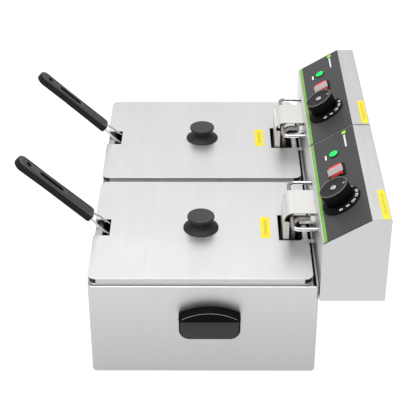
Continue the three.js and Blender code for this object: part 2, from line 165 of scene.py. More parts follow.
def brushed_steel(name, level, axis, roughness=0.3, tint=(1.0, 1.0, 1.0), foot_shade=0.0, foot_height=0.17):
    """Satin stainless sheet, brushed along one axis, with broad streaks and faint smudges.
    foot_shade is how much darker the steel is painted at the foot than at foot_height, as painted shade."""
    def build(tree):
        fine = noise(tree, across_grain(axis, FINE_GRAIN), 2.0)
        broad = noise(tree, across_grain(axis, BROAD_GRAIN), 4.0)
        smudge = noise(tree, (9.0, 9.0, 9.0), 4.0)
        shade = fine * 0.4 + broad * 0.35 + smudge * 0.25
        dark = shaded(tint, level * 0.90)
        light = shaded(tint, min(1.0, level * 1.08))
        clean = between(tree, shade, dark, light)
        # painted shade: the colour darkens towards the foot, where the casing stands in shade
        if foot_shade:
            place = object_place(tree, (1.0, 1.0, 1.0))
            height = tree.node("ShaderNodeSeparateXYZ", {}, {"Vector": place}, output="Z")
            rise = height * (1 / foot_height)
            foot_shaded = shaded(tint, level * (1 - foot_shade))
            clean = between(tree, rise.math("MINIMUM", rise, 1.0), foot_shaded, clean)
        return {"Base Color": clean, "Metallic": 1.0,
            "Roughness": roughness + fine * 0.10 + smudge * 0.10,
            "Normal": bumped(tree, fine * 0.7 + broad * 0.3, 0.00004, 0.5)}
    return finish_material(name, build)


def plated_wire(name, level=0.86):
    def build(tree):
        cloud = noise(tree, (60.0, 60.0, 60.0), 3.0)
        draw_marks = noise(tree, (900.0, 900.0, 900.0), 2.0)
        return {"Base Color": between(tree, cloud, grey(level * 0.93), grey(level)), "Metallic": 1.0,
            "Roughness": 0.10 + cloud * 0.10, "Normal": bumped(tree, draw_marks, 0.00003, 0.4)}
    return finish_material(name, build)


def moulded_plastic(name, level, roughness, texture=1400.0, depth=0.00006, tint=(1.0, 1.0, 1.0), gloss=0.22):
    """Black or grey plastic with a fine spark-eroded texture and faint handling wear."""
    def build(tree):
        pebble = noise(tree, (texture, texture, texture), 2.0)
        wear = noise(tree, (35.0, 35.0, 35.0), 4.0)
        mottle = wear * 0.6 + pebble * 0.4
        return {"Base Color": between(tree, mottle, shaded(tint, level * 0.8), shaded(tint, level * 1.35)),
            "Roughness": roughness + wear * 0.14, "Specular IOR Level": gloss,
            "Normal": bumped(tree, pebble, depth, 0.6)}
    return finish_material(name, build)


def printed_overlay(name, level):
    """Satin polycarbonate overlay with a fine dot texture."""
    def build(tree):
        dots = tree.node("ShaderNodeTexVoronoi", {},
            {"Vector": object_place(tree, (1300.0,) * 3), "Scale": 1.0})
        haze = noise(tree, (14.0, 14.0, 14.0), 3.0)
        return {"Base Color": between(tree, haze, grey(level * 0.88), grey(level * 1.15)),
            "Roughness": 0.40 + haze * 0.12, "Specular IOR Level": 0.4,
            "Normal": bumped(tree, dots, 0.00003, 0.35)}
    return finish_material(name, build)


def enamel(name, colour, roughness=0.35, coat=0.3):
    def build(tree):
        haze = noise(tree, (120.0, 120.0, 120.0), 3.0)
        return {"Base Color": between(tree, haze, shaded(colour, 0.90), (*colour, 1.0)),
            "Roughness": roughness + haze * 0.08, "Coat Weight": coat,
            "Normal": bumped(tree, haze, 0.00002, 0.3)}
    return finish_material(name, build)


def lit_lens(name, colour, glow, coat=0.3):
    """A ribbed translucent lens, lit from behind."""
    def build(tree):
        ribs = tree.node("ShaderNodeTexWave", {"wave_type": "BANDS"},
            {"Vector": object_place(tree, (700.0, 700.0, 700.0)), "Scale": 0.6, "Distortion": 0.4})
        body = between(tree, ribs * 0.6, (*colour, 1.0), tuple(min(1.0, c * 1.35) for c in colour) + (1.0,))
        return {"Base Color": body, "Roughness": 0.2 + ribs * 0.1, "Specular IOR Level": 0.3,
            "Emission Color": body, "Emission Strength": glow, "Coat Weight": coat,
            "Normal": bumped(tree, ribs, 0.00008, 0.4)}
    return finish_material(name, build)


def heat_dulled_steel(name):
    """Element sheath: grey steel with straw and blue heat tints."""
    def build(tree):
        tint = noise(tree, (22.0, 22.0, 22.0), 4.0)
        stops = [(0.30, (0.30, 0.27, 0.23, 1.0)), (0.52, (0.36, 0.34, 0.31, 1.0)),
            (0.72, (0.24, 0.25, 0.29, 1.0))]
        speck = noise(tree, (700.0, 700.0, 700.0), 2.0)
        return {"Base Color": tree.node("ShaderNodeValToRGB", {"stops": stops}, {0: tint}),
            "Metallic": 0.9, "Roughness": 0.34 + speck * 0.16,
            "Normal": bumped(tree, speck, 0.00005, 0.5)}
    return finish_material(name, build)


X, Y, Z = 0, 1, 2
lid_steel = brushed_steel("lid_steel", 0.83, X, 0.30)
# painted shade: a darker copy of the lid steel for the lid's upright faces
skirt_steel = brushed_steel("skirt_steel", 0.54, X, 0.30)
# the casing steel carries painted shade that darkens it towards its foot
casing_steel = brushed_steel("casing_steel", 0.61, Z, 0.34, (0.975, 0.97, 1.0), 0.26)
head_steel = brushed_steel("head_steel", 0.69, X, 0.34)
head_end_steel = brushed_steel("head_end_steel", 0.60, Z, 0.34, (0.975, 0.97, 1.0))
tank_steel = brushed_steel("tank_steel", 0.66, X, 0.24)
cover_steel = brushed_steel("cover_steel", 0.91, X, 0.30, (1.0, 0.99, 0.965))
# painted shade: a darker copy of the cover steel for the riser cover's flanks and its leg down in the tank
leg_steel = brushed_steel("leg_steel", 0.55, Z, 0.30, (1.0, 0.97, 0.93))
stem_steel = plated_wire("stem_steel", 0.66)
wire_chrome = plated_wire("wire_chrome")
hook_chrome = plated_wire("hook_chrome", 0.45)
element_steel = heat_dulled_steel("element_steel")
black_plastic = moulded_plastic("black_plastic", 0.008, 0.46, gloss=0.12)
knob_plastic = moulded_plastic("knob_plastic", 0.015, 0.36, 1000.0, 0.00003, gloss=0.14)
dial_plastic = moulded_plastic("dial_plastic", 0.005, 0.42, 1000.0, 0.00003, gloss=0.05)
# painted light: a lighter copy of the dial plastic for the dial's top face
dial_top_plastic = moulded_plastic("dial_top_plastic", 0.016, 0.36, 1000.0, 0.00003, gloss=0.16)
# painted light: a lighter copy of the knob plastic for the knob's top face
knob_top_plastic = moulded_plastic("knob_top_plastic", 0.036, 0.40, 1000.0, 0.00003)
hood_plastic = moulded_plastic("hood_plastic", 0.003, 0.60, gloss=0.04)
# painted highlight: pale plastic for the thin rod along the carry handle's front edge
highlight_line_plastic = moulded_plastic("highlight_line_plastic", 0.40, 0.40, 900.0, 0.00003)
panel_plastic = moulded_plastic("panel_plastic", 0.034, 0.60, 700.0, 0.00012)
# painted highlight: a grey plastic for the dial's raised rim, standing for the light it catches
rim_plastic = moulded_plastic("rim_plastic", 0.11, 0.35, 900.0, 0.00003)
grip_plastic = moulded_plastic("grip_plastic", 0.010, 0.50, gloss=0.10)
# painted light: a lighter copy of the grip plastic for the grip's upward faces
grip_top_plastic = moulded_plastic("grip_top_plastic", 0.050, 0.50)
# painted shadow: a black for the strip on the casing top behind the lids
seal_rubber = moulded_plastic("seal_rubber", 0.004, 0.80, 500.0, 0.0001, gloss=0.04)
foot_rubber = moulded_plastic("foot_rubber", 0.02, 0.75, 500.0, 0.0001)
ceramic = moulded_plastic("unglazed_ceramic", 0.62, 0.65, 600.0, 0.00006, (1.0, 0.95, 0.86))
overlay_grey = printed_overlay("overlay_grey", 0.036)
strip_green = enamel("strip_green", (0.14, 0.33, 0.042), 0.4, 0.1)
label_yellow = enamel("label_yellow", (0.67, 0.55, 0.012), 0.5, 0.0)
label_ink = enamel("label_ink", (0.50, 0.40, 0.03), 0.5, 0.0)
mark_green = enamel("mark_green", (0.30, 0.72, 0.03), 0.4, 0.0)
mark_pale = enamel("mark_pale", (0.55, 0.60, 0.66), 0.45, 0.0)
print_white = enamel("print_white", (0.80, 0.80, 0.78), 0.45, 0.0)
rocker_red = lit_lens("rocker_red", (0.70, 0.008, 0.015), 0.25)
# painted shade: a dark, unlit copy of the rocker red for its near end
rocker_dark_red = lit_lens("rocker_dark_red", (0.20, 0.002, 0.006), 0.0, 0.0)
lamp_green = lit_lens("lamp_green", (0.0, 0.52, 0.07), 0.55, 0.0)
film_pale = enamel("film_pale", (0.32, 0.28, 0.272), 0.3, 0.4)


# ---- shapes --------------------------------------------------------------------------
# A shape is a pair: vertices and faces.

def arc_points(centre, radius, start, end, steps):
    """Points on an arc, angles in degrees, both ends included."""
    angles = (math.radians(start + (end - start) * i / steps) for i in range(steps + 1))
    return [(centre[0] + radius * math.cos(a), centre[1] + radius * math.sin(a)) for a in angles]


def rounded_rectangle(x0, x1, y0, y1, radius, steps=6):
    corners = (((x1 - radius, y1 - radius), 0), ((x0 + radius, y1 - radius), 90),
        ((x0 + radius, y0 + radius), 180), ((x1 - radius, y0 + radius), 270))
    return [point for centre, start in corners
        for point in arc_points(centre, radius, start, start + 90, steps)]


def slab(outline, low, high, holes=()):
    """A flat plate in X and Y, from low to high, with holes right through."""
    loops = [list(outline), *[list(hole) for hole in holes]]
    points = [point for loop in loops for point in loop]
    count = len(points)
    vertices = [(x, y, z) for z in (low, high) for x, y in points]
    faces = []
    if holes:
        flat = [[Vector((x, y, 0.0)) for x, y in loop] for loop in loops]
        faces += [tuple(face) for face in tessellate_polygon(flat)]
        faces += [tuple(i + count for i in face) for face in faces]
    else:
        faces += [tuple(reversed(range(count))), tuple(range(count, 2 * count))]
    first = 0
    for loop in loops:
        for i in range(len(loop)):
            a, b = first + i, first + (i + 1) % len(loop)
            faces.append((a, b, b + count, a + count))
        first += len(loop)
    return vertices, faces


def block(low, high):
    return slab([(low[0], low[1]), (high[0], low[1]), (high[0], high[1]), (low[0], high[1])], low[2], high[2])


def lathe(profile, steps=40):
    """A closed shape turned round Z, from [radius, height] points that start and end on the axis."""
    inner = profile[1:-1]
    vertices = [(0.0, 0.0, profile[0][1])]
    for i in range(steps):
        a = 2 * math.pi * i / steps
        vertices += [(r * math.cos(a), r * math.sin(a), z) for r, z in inner]
    vertices.append((0.0, 0.0, profile[-1][1]))
    faces = []
    for i in range(steps):
        here, there = 1 + i * len(inner), 1 + ((i + 1) % steps) * len(inner)
        faces.append((0, there, here))
        for k in range(len(inner) - 1):
            faces.append((here + k, there + k, there + k + 1, here + k + 1))
        faces.append((here + len(inner) - 1, there + len(inner) - 1, len(vertices) - 1))
    return vertices, faces


def ring(profile, steps=40):
    """A shape turned round Z from a closed [radius, height] outline that stays off the axis."""
    count = len(profile)
    vertices = [(r * math.cos(2 * math.pi * i / steps), r * math.sin(2 * math.pi * i / steps), z)
        for i in range(steps) for r, z in profile]
    faces = [(i * count + k, ((i + 1) % steps) * count + k, ((i + 1) % steps) * count + (k + 1) % count,
        i * count + (k + 1) % count) for i in range(steps) for k in range(count)]
    return vertices, faces


def skin(rows, closed_rows=True, cap_last=False):
    """A sheet through rows of points, one row after another."""
    count = len(rows[0])
    vertices = [point for row in rows for point in row]
    faces = []
    for j in range(len(rows) - 1):
        for i in range(count if closed_rows else count - 1):
            a, b = j * count + i, j * count + (i + 1) % count
            faces.append((a, b, b + count, a + count))
    if cap_last:
        faces.append(tuple(range((len(rows) - 1) * count, len(rows) * count)))
    return vertices, faces


def level(outline, z):
    return [(x, y, z) for x, y in outline]


def moved(shape, matrix):
    return [tuple(matrix @ Vector(v)) for v in shape[0]], shape[1]


def shifted(shape, x=0.0, y=0.0, z=0.0):
    return moved(shape, Matrix.Translation((x, y, z)))


def together(*shapes):
    vertices, faces = [], []
    for points, polygons in shapes:
        faces += [tuple(i + len(vertices) for i in polygon) for polygon in polygons]
        vertices += points
    return vertices, faces


TURN_TO_BACK = Matrix.Rotation(math.radians(-90), 4, "X")      # Z becomes +Y
# an outline in (Y, Z), run along X
ALONG_X = Matrix(((0, 0, 1, 0), (1, 0, 0, 0), (0, 1, 0, 0), (0, 0, 0, 1)))


# ---- pieces --------------------------------------------------------------------------

def settle(piece):
    """Applies a piece's modifiers, so that a plain mesh is left."""
    graph = bpy.context.evaluated_depsgraph_get()
    mesh = bpy.data.meshes.new_from_object(piece.evaluated_get(graph))
    piece.modifiers.clear()
    piece.data = mesh
    mesh.name = piece.name


def at_real_size(piece, *helpers):
    """Applies a piece's modifiers in metres: in millimetres, tiny corner faces grow spikes."""
    for part in (piece, *helpers):
        part.data.transform(Matrix.Scale(MM, 4))
    settle(piece)
    piece.data.transform(Matrix.Scale(1 / MM, 4))


def shade(piece, sharp=40):
    """Flat faces stay flat and the small rounds between them stay smooth."""
    piece.data.shade_smooth()
    piece.data.set_sharp_from_angle(angle=math.radians(sharp))
    level_faces = piece.modifiers.new("normals", "WEIGHTED_NORMAL")
    level_faces.mode, level_faces.weight, level_faces.keep_sharp = "FACE_AREA", 100, True
    settle(piece)


def outwards(mesh):
    """Merges doubled points and turns the faces outwards."""
    work = bmesh.new()
    work.from_mesh(mesh)
    bmesh.ops.remove_doubles(work, verts=work.verts, dist=1e-4)
    bmesh.ops.recalc_face_normals(work, faces=work.faces)
    work.to_mesh(mesh)
    work.free()


def make(name, shape, material, sheet=0.0, fold=0.0, edge=0.0, segments=3, angle=30, cutters=(), turn=True):
    """An object from a shape. fold rounds the folds of an open surface, sheet gives it its thickness,
    edge rounds the edges of a solid, and cutters are shapes taken away from it."""
    mesh = bpy.data.meshes.new(name)
    mesh.from_pydata(shape[0], [], shape[1])
    piece = bpy.data.objects.new(name, mesh)
    bpy.context.scene.collection.objects.link(piece)
    if turn:
        outwards(mesh)
    mesh.materials.append(material)
    if cutters:
        subtract(piece, [make("cutter", cutter, material) for cutter in cutters])
    if fold or edge:
        bevel = piece.modifiers.new("round", "BEVEL")
        bevel.width, bevel.segments = (fold or edge) * MM, segments
        bevel.limit_method, bevel.angle_limit = "ANGLE", math.radians(angle)
    if sheet:
        wall = piece.modifiers.new("sheet", "SOLIDIFY")
        wall.thickness, wall.offset, wall.use_even_offset = sheet * MM, -1.0, True
    if piece.modifiers:
        at_real_size(piece)
    shade(piece)
    return piece


def subtract(piece, helpers):
    """Takes the helper objects away from a piece, and then deletes them."""
    for helper in helpers:
        carve = piece.modifiers.new("carve", "BOOLEAN")
        carve.operation, carve.solver, carve.object = "DIFFERENCE", "EXACT", helper
    at_real_size(piece, *helpers)
    for helper in helpers:
        bpy.data.objects.remove(helper)


def carved(piece, cutters):
    """Cuts shapes out of a finished piece."""
    subtract(piece, [make("cutter", cutter, piece.data.materials[0]) for cutter in cutters])
    shade(piece)
    return piece


def place(piece, body, slot, *nodes, at=Matrix()):
    """Moves a finished piece to its spot and rides it on its body, in place of these CAD nodes."""
    piece.data.transform(Matrix.Scale(MM, 4) @ at)
    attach(piece, body)
    if nodes:
        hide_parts(*nodes)
    return piece


def second_finish(piece, material, faces):
    """Gives the faces that the rule picks a second finish; faces(normal, centre) says which."""
    piece.data.materials.append(material)
    for polygon in piece.data.polygons:
        if faces(polygon.normal, polygon.center):
            polygon.material_index = len(piece.data.materials) - 1


def dress(node, material):
    """Gives a CAD node that stays its finish."""
    slots = frame["nodes"][node].data.materials
    slots.clear()
    slots.append(material)


# ---- geometry node trees -------------------------------------------------------------

def grower(name, inputs):
    """An empty geometry tree with named inputs, and the values of those inputs."""
    group = bpy.data.node_groups.new(name, "GeometryNodeTree")
    group.interface.new_socket("Geometry", in_out="INPUT", socket_type="NodeSocketGeometry")
    for label, (kind, default) in inputs.items():
        socket = group.interface.new_socket(label, in_out="INPUT", socket_type=f"NodeSocket{kind}")
        if default is not None:
            socket.default_value = default
    group.interface.new_socket("Geometry", in_out="OUTPUT", socket_type="NodeSocketGeometry")
    tree = Tree(group)
    given = tree.node("NodeGroupInput")
    return tree, {label: given.output(label) for label in ("Geometry", *inputs)}


def close_tree(tree, geometry, material):
    """Ends a tree in plain, smooth geometry with its finish."""
    real = tree.node("GeometryNodeRealizeInstances", {}, {"Geometry": geometry})
    smooth = tree.node("GeometryNodeSetShadeSmooth", {}, {"Geometry": real})
    finished = tree.node("GeometryNodeSetMaterial", {}, {"Geometry": smooth, "Material": material})
    tree.node("NodeGroupOutput", {}, {"Geometry": finished})
    return tree.tree


WIRE_INPUTS = {"Wire Radius": ("Float", 2.0), "Bend Radius": ("Float", 8.0), "Bend Steps": ("Int", 6),
    "Sides": ("Int", 12), "Finish": ("Material", None)}


def round_wire(tree, given):
    """Round wire along the input's edges, with its corners bent to a radius."""
    line = tree.node("GeometryNodeMeshToCurve", {}, {"Mesh": given["Geometry"]})
    bent = tree.node("GeometryNodeFilletCurve", {"mode": "POLY"}, {
        "Curve": line, "Count": given["Bend Steps"], "Radius": given["Bend Radius"], "Limit Radius": True})
    section = tree.node("GeometryNodeCurvePrimitiveCircle", {"mode": "RADIUS"},
        {"Resolution": given["Sides"], "Radius": given["Wire Radius"]})
    return tree.node("GeometryNodeCurveToMesh", {},
        {"Curve": bent, "Profile Curve": section, "Fill Caps": True})


def wire_row_tree():
    """One bent wire, repeated in a row."""
    tree, given = grower("wire_row", {**WIRE_INPUTS, "Count": ("Int", 1),
        "Step": ("Vector", (0.0, 10.0, 0.0))})
    wire = round_wire(tree, given)
    spots = tree.node("GeometryNodeMeshLine", {"mode": "OFFSET"},
        {"Count": given["Count"], "Start Location": (0.0, 0.0, 0.0), "Offset": given["Step"]})
    row = tree.node("GeometryNodeInstanceOnPoints", {}, {"Points": spots, "Instance": wire})
    return close_tree(tree, row, given["Finish"])


def round_row_tree():
    """The input shape, repeated round the Z axis at a radius over a sweep."""
    tree, given = grower("round_row", {"Count": ("Int", 12), "Radius": ("Float", 20.0),
        "Start": ("Float", 0.0), "Sweep": ("Float", 2 * math.pi), "Finish": ("Material", None)})
    spots = tree.node("GeometryNodeMeshLine", {"mode": "OFFSET"},
        {"Count": given["Count"], "Start Location": (0.0, 0.0, 0.0), "Offset": (0.0, 0.0, 0.0)})
    index = tree.node("GeometryNodeInputIndex")
    share = index.math("DIVIDE", index, given["Count"])
    turn = given["Start"] + share * given["Sweep"]
    offset = tree.node("ShaderNodeCombineXYZ", {}, {
        "X": turn.math("COSINE", turn) * given["Radius"], "Y": turn.math("SINE", turn) * given["Radius"]})
    ringed = tree.node("GeometryNodeSetPosition", {}, {"Geometry": spots, "Offset": offset})
    facing = tree.node("ShaderNodeCombineXYZ", {}, {"Z": turn})
    row = tree.node("GeometryNodeInstanceOnPoints", {},
        {"Points": ringed, "Instance": given["Geometry"], "Rotation": facing})
    return close_tree(tree, row, given["Finish"])


def straight_row_tree():
    """The input shape, repeated in a straight row."""
    tree, given = grower("straight_row", {"Count": ("Int", 6), "Step": ("Vector", (10.0, 0.0, 0.0)),
        "Finish": ("Material", None)})
    spots = tree.node("GeometryNodeMeshLine", {"mode": "OFFSET"},
        {"Count": given["Count"], "Start Location": (0.0, 0.0, 0.0), "Offset": given["Step"]})
    row = tree.node("GeometryNodeInstanceOnPoints", {}, {"Points": spots, "Instance": given["Geometry"]})
    return close_tree(tree, row, given["Finish"])


TREES = {"wire_row": wire_row_tree(), "round_row": round_row_tree(), "straight_row": straight_row_tree()}


def grow(name, tree_name, vertices, edges, faces, **inputs):
    """Runs a geometry tree on a small mesh and keeps the plain result."""
    mesh = bpy.data.meshes.new(name)
    mesh.from_pydata(vertices, edges, faces)
    piece = bpy.data.objects.new(name, mesh)
    bpy.context.scene.collection.objects.link(piece)
    modifier = piece.modifiers.new("grow", "NODES")
    modifier.node_group = TREES[tree_name]
    kinds = {"NodeSocketFloat": float, "NodeSocketVector": lambda v: [float(part) for part in v]}
    for item in TREES[tree_name].interface.items_tree:
        label = item.name.lower().replace(" ", "_")
        if item.in_out == "INPUT" and label in inputs:
            modifier[item.identifier] = kinds.get(item.socket_type, lambda v: v)(inputs[label])
    settle(piece)
    return piece


def wire(name, routes, radius, bend, material=wire_chrome, closed=False, sides=14):
    """One or more bent wires through lists of corner points."""
    vertices, edges = [], []
    for route in routes:
        first = len(vertices)
        vertices += [tuple(point) for point in route]
        edges += [(first + i, first + i + 1) for i in range(len(route) - 1)]
        if closed:
            edges.append((len(vertices) - 1, first))
    return grow(name, "wire_row", vertices, edges, [], wire_radius=radius, bend_radius=bend, bend_steps=7,
        sides=sides, finish=material)


def joined(name, pieces):
    """One object from several."""
    with bpy.context.temp_override(active_object=pieces[0], selected_editable_objects=pieces,
            selected_objects=pieces, object=pieces[0]):
        bpy.ops.object.join()
    pieces[0].name = pieces[0].data.name = name
    return pieces[0]


# ---- camera and light ----------------------------------------------------------------

def set_camera():
    camera = bpy.data.objects.new("camera", bpy.data.cameras.new("camera"))
    bpy.context.scene.collection.objects.link(camera)
    camera.location = (1.6573, 0.0126, 1.1803)
    down, around = math.radians(32.443), math.radians(90.145)
    camera.rotation_euler = (math.radians(90) - down, 0.0, around)
    camera.data.lens, camera.data.sensor_width = 103.05, 36.0
    camera.data.clip_end = 50.0
    bpy.context.scene.camera = camera


def area_light(name, spot, aim, size, power):
    data = bpy.data.lights.new(name, "AREA")
    data.shape, data.size, data.energy = "SQUARE", size, power
    lamp = bpy.data.objects.new(name, data)
    lamp.location = spot
    lamp.rotation_euler = (Vector(spot) - Vector(aim)).to_track_quat("Z", "Y").to_euler()
    bpy.context.scene.collection.objects.link(lamp)


def set_studio():
    world = bpy.data.worlds.new("studio")
    bpy.context.scene.world = world
    world.use_nodes = True
    world.node_tree.nodes.clear()
    tree = Tree(world.node_tree)
    direction = tree.node("ShaderNodeTexCoord", output="Generated")
    height = tree.node("ShaderNodeSeparateXYZ", {}, {"Vector": direction}, output="Z")
    stops = [(0.0, grey(0.55)), (0.35, grey(0.62)), (0.75, grey(1.0))]
    sky = tree.node("ShaderNodeValToRGB", {"stops": stops}, {0: height})
    back = tree.node("ShaderNodeBackground", {}, {"Color": sky, "Strength": 1.0})
    tree.node("ShaderNodeOutputWorld", {}, {"Surface": back})
    reach = 30.0        # metres, each way
    rows = [[(-reach, y, 0.0), (reach, y, 0.0)] for y in (-reach, reach)]
    pale = finish_material("pale_floor", lambda tree: {
        "Base Color": between(tree, noise(tree, (2.0, 2.0, 2.0)), grey(0.09), grey(0.11)),
        "Emission Color": grey(1.0), "Emission Strength": 0.96, "Roughness": 0.9})
    floor = make("floor", skin(rows, closed_rows=False), pale, turn=False)
    area_light("top_light", (0.3, -0.2, 2.6), (0.0, 0.0, 0.1), 2.2, 60.0)
    area_light("side_light", (2.2, -1.6, 1.4), (0.0, 0.0, 0.15), 1.6, 14.0)
    bpy.context.scene.view_settings.view_transform = "Standard"


set_camera()
set_studio()

# ---- casing, tanks and feet ----------------------------------------------------------

SHEET = 1.2


def tank_opening(side, grow_by=0.0):
    """Outline of a tank's mouth, from the tank's node and its flange."""
    low, high = box(f"oil_tank_{side}")
    rim_x, rim_front, rim_back = 13.5, 11.5, 8.5
    return rounded_rectangle(low.x + rim_x - grow_by, high.x - rim_x + grow_by,
        low.y + rim_front - grow_by, high.y - rim_back + grow_by, 26 + grow_by)


def outer_casing():
    low, high = box("outer_casing")
    corner, roll, lip = 7, 1.6, 12

    def at(inset, z):
        return level(rounded_rectangle(low.x + inset, high.x - inset, low.y + inset, high.y - inset,
            max(corner - inset, 1)), z)

    rolled = [arc_points((roll, 0.0), roll, 180 - 22.5 * i, 180 - 22.5 * i, 1)[0] for i in range(5)]
    rows = [at(lip, low.z)]
    rows += [at(inset, low.z + roll - rise) for inset, rise in reversed(rolled)]
    rows += [at(inset, high.z - roll + rise) for inset, rise in rolled]
    vertices, faces = skin(rows)
    rim = [point[:2] for point in rows[-1]]
    holes = [tank_opening(side, 2) for side, _ in SIDES]
    loops = [[Vector((x, y, 0.0)) for x, y in loop] for loop in (rim, *holes)]
    first = len(vertices) - len(rim)
    vertices += [(x, y, high.z) for hole in holes for x, y in hole]
    faces += [tuple(first + i for i in face) for face in tessellate_polygon(loops)]
    piece = make("outer_casing_sheet", (vertices, faces), casing_steel, sheet=SHEET)
    place(piece, "root", "casing_steel", "outer_casing")
    # painted shadow: a black strip on the casing top behind the lids stands for the shade there
    shadow_strip = make("rear_seal", block((low.x + 3, high.y - 8.4, high.z - 0.3),
        (high.x - 3, high.y - 3.6, high.z + 0.7)), seal_rubber, edge=0.4)
    place(shadow_strip, "root", "rubber")


def oil_tank(side):
    low, high = box(f"oil_tank_{side}")
    corner, lip, inner_roll, floor_roll = 12, 1.4, 3, 14

    def flange(inset, z):
        return level(rounded_rectangle(low.x + inset, high.x - inset, low.y + inset, high.y - inset,
            corner - inset), z)

    def wall(inset, z):
        return level(tank_opening(side, -inset), z)

    floor = low.z + 1
    rows = [flange(0.0, high.z - lip), flange(0.0, high.z - 0.5), flange(0.5, high.z)]
    rows += [wall(-inner_roll, high.z)]
    rows += [wall(dx - inner_roll, high.z - inner_roll + dz)
        for dx, dz in arc_points((0.0, 0.0), inner_roll, 67.5, 0, 3)]
    rows += [wall(floor_roll - dx, floor + floor_roll + dz)
        for dx, dz in arc_points((0.0, 0.0), floor_roll, 0, -90, 6)]
    piece = make(f"oil_tank_pan_{side}", skin(rows, cap_last=True), tank_steel, turn=False)
    flip_up(piece.data)
    wall_modifier = piece.modifiers.new("sheet", "SOLIDIFY")
    wall_modifier.thickness, wall_modifier.offset = 0.9, -1.0
    settle(piece)
    shade(piece)
    place(piece, "root", "tank_steel", f"oil_tank_{side}")


def flip_up(mesh):
    """Turns an open pan's faces towards its inside and top."""
    work = bmesh.new()
    work.from_mesh(mesh)
    bmesh.ops.recalc_face_normals(work, faces=work.faces)
    lowest = min(work.faces, key=lambda face: face.calc_center_median().z)
    if lowest.normal.z < 0:
        bmesh.ops.reverse_faces(work, faces=work.faces)
    work.to_mesh(mesh)
    work.free()


def rubber_foot(name):
    low, high = box(name)
    middle = (low + high) / 2
    tall, wide = high.z, (high.x - low.x) / 2
    shape = lathe([(0, 0), (wide * 0.55, 0), (wide * 0.6, 0.8), (wide * 0.72, 0.8), (wide * 0.80, 0.0),
        (wide * 0.86, 1), (wide, tall), (0, tall)])
    piece = make(f"{name}_rubber", shifted(shape, middle.x, middle.y), foot_rubber, edge=0.6)
    place(piece, "root", "rubber", name)


def hood_outline(half, low, high, rise, corner):
    bulge = (half * half + rise * rise) / (2 * rise)
    spread = math.degrees(math.asin(half / bulge))
    top = arc_points((0.0, high - bulge), bulge, 90 - spread, 90 + spread, 20)
    return [*top, *arc_points((-half + corner, low + corner), corner, 180, 270, 8),
        *arc_points((half - corner, low + corner), corner, 270, 360, 8)]


def carry_handle(side, sign):
    """An arched hood to lift by, with a thin pale rod along its mouth as a painted highlight, on a plate with
    a rounded lower edge.
    """
    low, high = box(f"carry_handle_{side}")
    centre = (low.y + high.y) / 2
    half, deep = (high.y - low.y) / 2, high.x - low.x
    lip_low = low.z + 42

    def along(outline, x0, x1):
        return moved(slab(outline, x0, x1), ALONG_X)

    back = make("back", along(hood_outline(half, low.z, high.z, 12, 16), 0.0, 3.2), hood_plastic,
        edge=1.4)
    fingers = along(hood_outline(half - 4, lip_low - 30, high.z - 5, 11, 2), 3.2, deep - 3.5)
    hood = make("hood", along(hood_outline(half, lip_low, high.z, 12, 3), 0.5, deep), hood_plastic,
        edge=2.2, segments=4, cutters=[fingers])
    panel = make("panel", along(hood_outline(half - 2, low.z + 1.6, lip_low + 3, 4, 15), 3, 3.9),
        panel_plastic, edge=0.5)
    # painted highlight: a thin pale rod along the hood's front top edge stands for the light that edge
    # catches
    arch = [(deep - 0.5, y, z) for y, z in hood_outline(half - 5, lip_low, high.z - 1, 11, 2)[:21]]
    highlight_line = wire("highlight_line", [arch], 0.6, 1, highlight_line_plastic, sides=8)
    piece = joined(f"carry_handle_grip_{side}", [back, hood, panel, highlight_line])
    turn = Matrix.Rotation(math.pi if sign < 0 else 0.0, 4, "Z")
    place(piece, "root", "black_plastic", f"carry_handle_{side}",
        at=Matrix.Translation((high.x if sign < 0 else low.x, centre, 0.0)) @ turn)


# ---- lids ----------------------------------------------------------------------------

def lid_outline(low, high):
    """Corner points of the lid, each with True where a skirt hangs from it to the next point."""
    centre = (low.x + high.x) / 2
    corner, free = 12, 0.3
    front, rear = (22.5, 24.5), (35, 45)
    points = []

    def line(*spots):
        points.extend(spots)

    def round_corner(x, y, start):
        line(*[(*spot, False) for spot in arc_points((x, y), corner, start, start + 90, 8)])

    line((low.x + corner + free, low.y, True), (centre - front[0], low.y, False),
        (centre - front[0], low.y + front[1], False), (centre + front[0], low.y + front[1], False),
        (centre + front[0], low.y, True), (high.x - corner - free, low.y, False))
    round_corner(high.x - corner, low.y + corner, 270)
    line((high.x, low.y + corner + free, True), (high.x, high.y - corner - free, False))
    round_corner(high.x - corner, high.y - corner, 0)
    line((high.x - corner - free, high.y, True), (centre + rear[0], high.y, False),
        (centre + rear[0], high.y - rear[1], False), (centre - rear[0], high.y - rear[1], False),
        (centre - rear[0], high.y, True), (low.x + corner + free, high.y, False))
    round_corner(low.x + corner, high.y - corner, 90)
    line((low.x, high.y - corner - free, True), (low.x, low.y + corner + free, False))
    round_corner(low.x + corner, low.y + corner, 180)
    return points


def lid_sheet(side):
    low, high = box(f"lid_{side}")
    points = lid_outline(low, high)
    count = len(points)
    vertices = [(x, y, high.z) for x, y, _ in points]
    faces = [tuple(range(count))]
    hanging = {}
    for i, (x, y, skirt) in enumerate(points):
        if not skirt:
            continue
        after = (i + 1) % count
        for k in (i, after):
            if k not in hanging:
                hanging[k] = len(vertices)
                vertices.append((points[k][0], points[k][1], low.z))
        faces.append((i, hanging[i], hanging[after], after))
    piece = make(f"lid_sheet_{side}", (vertices, faces), lid_steel, turn=False, fold=1.5, sheet=1.0)
    # painted shade: the lid's upright faces get the darker copy of the lid steel
    second_finish(piece, skirt_steel, lambda normal, centre: abs(normal.z) < 0.3)
    place(piece, f"lid_{side}", "casing_steel", f"lid_{side}")


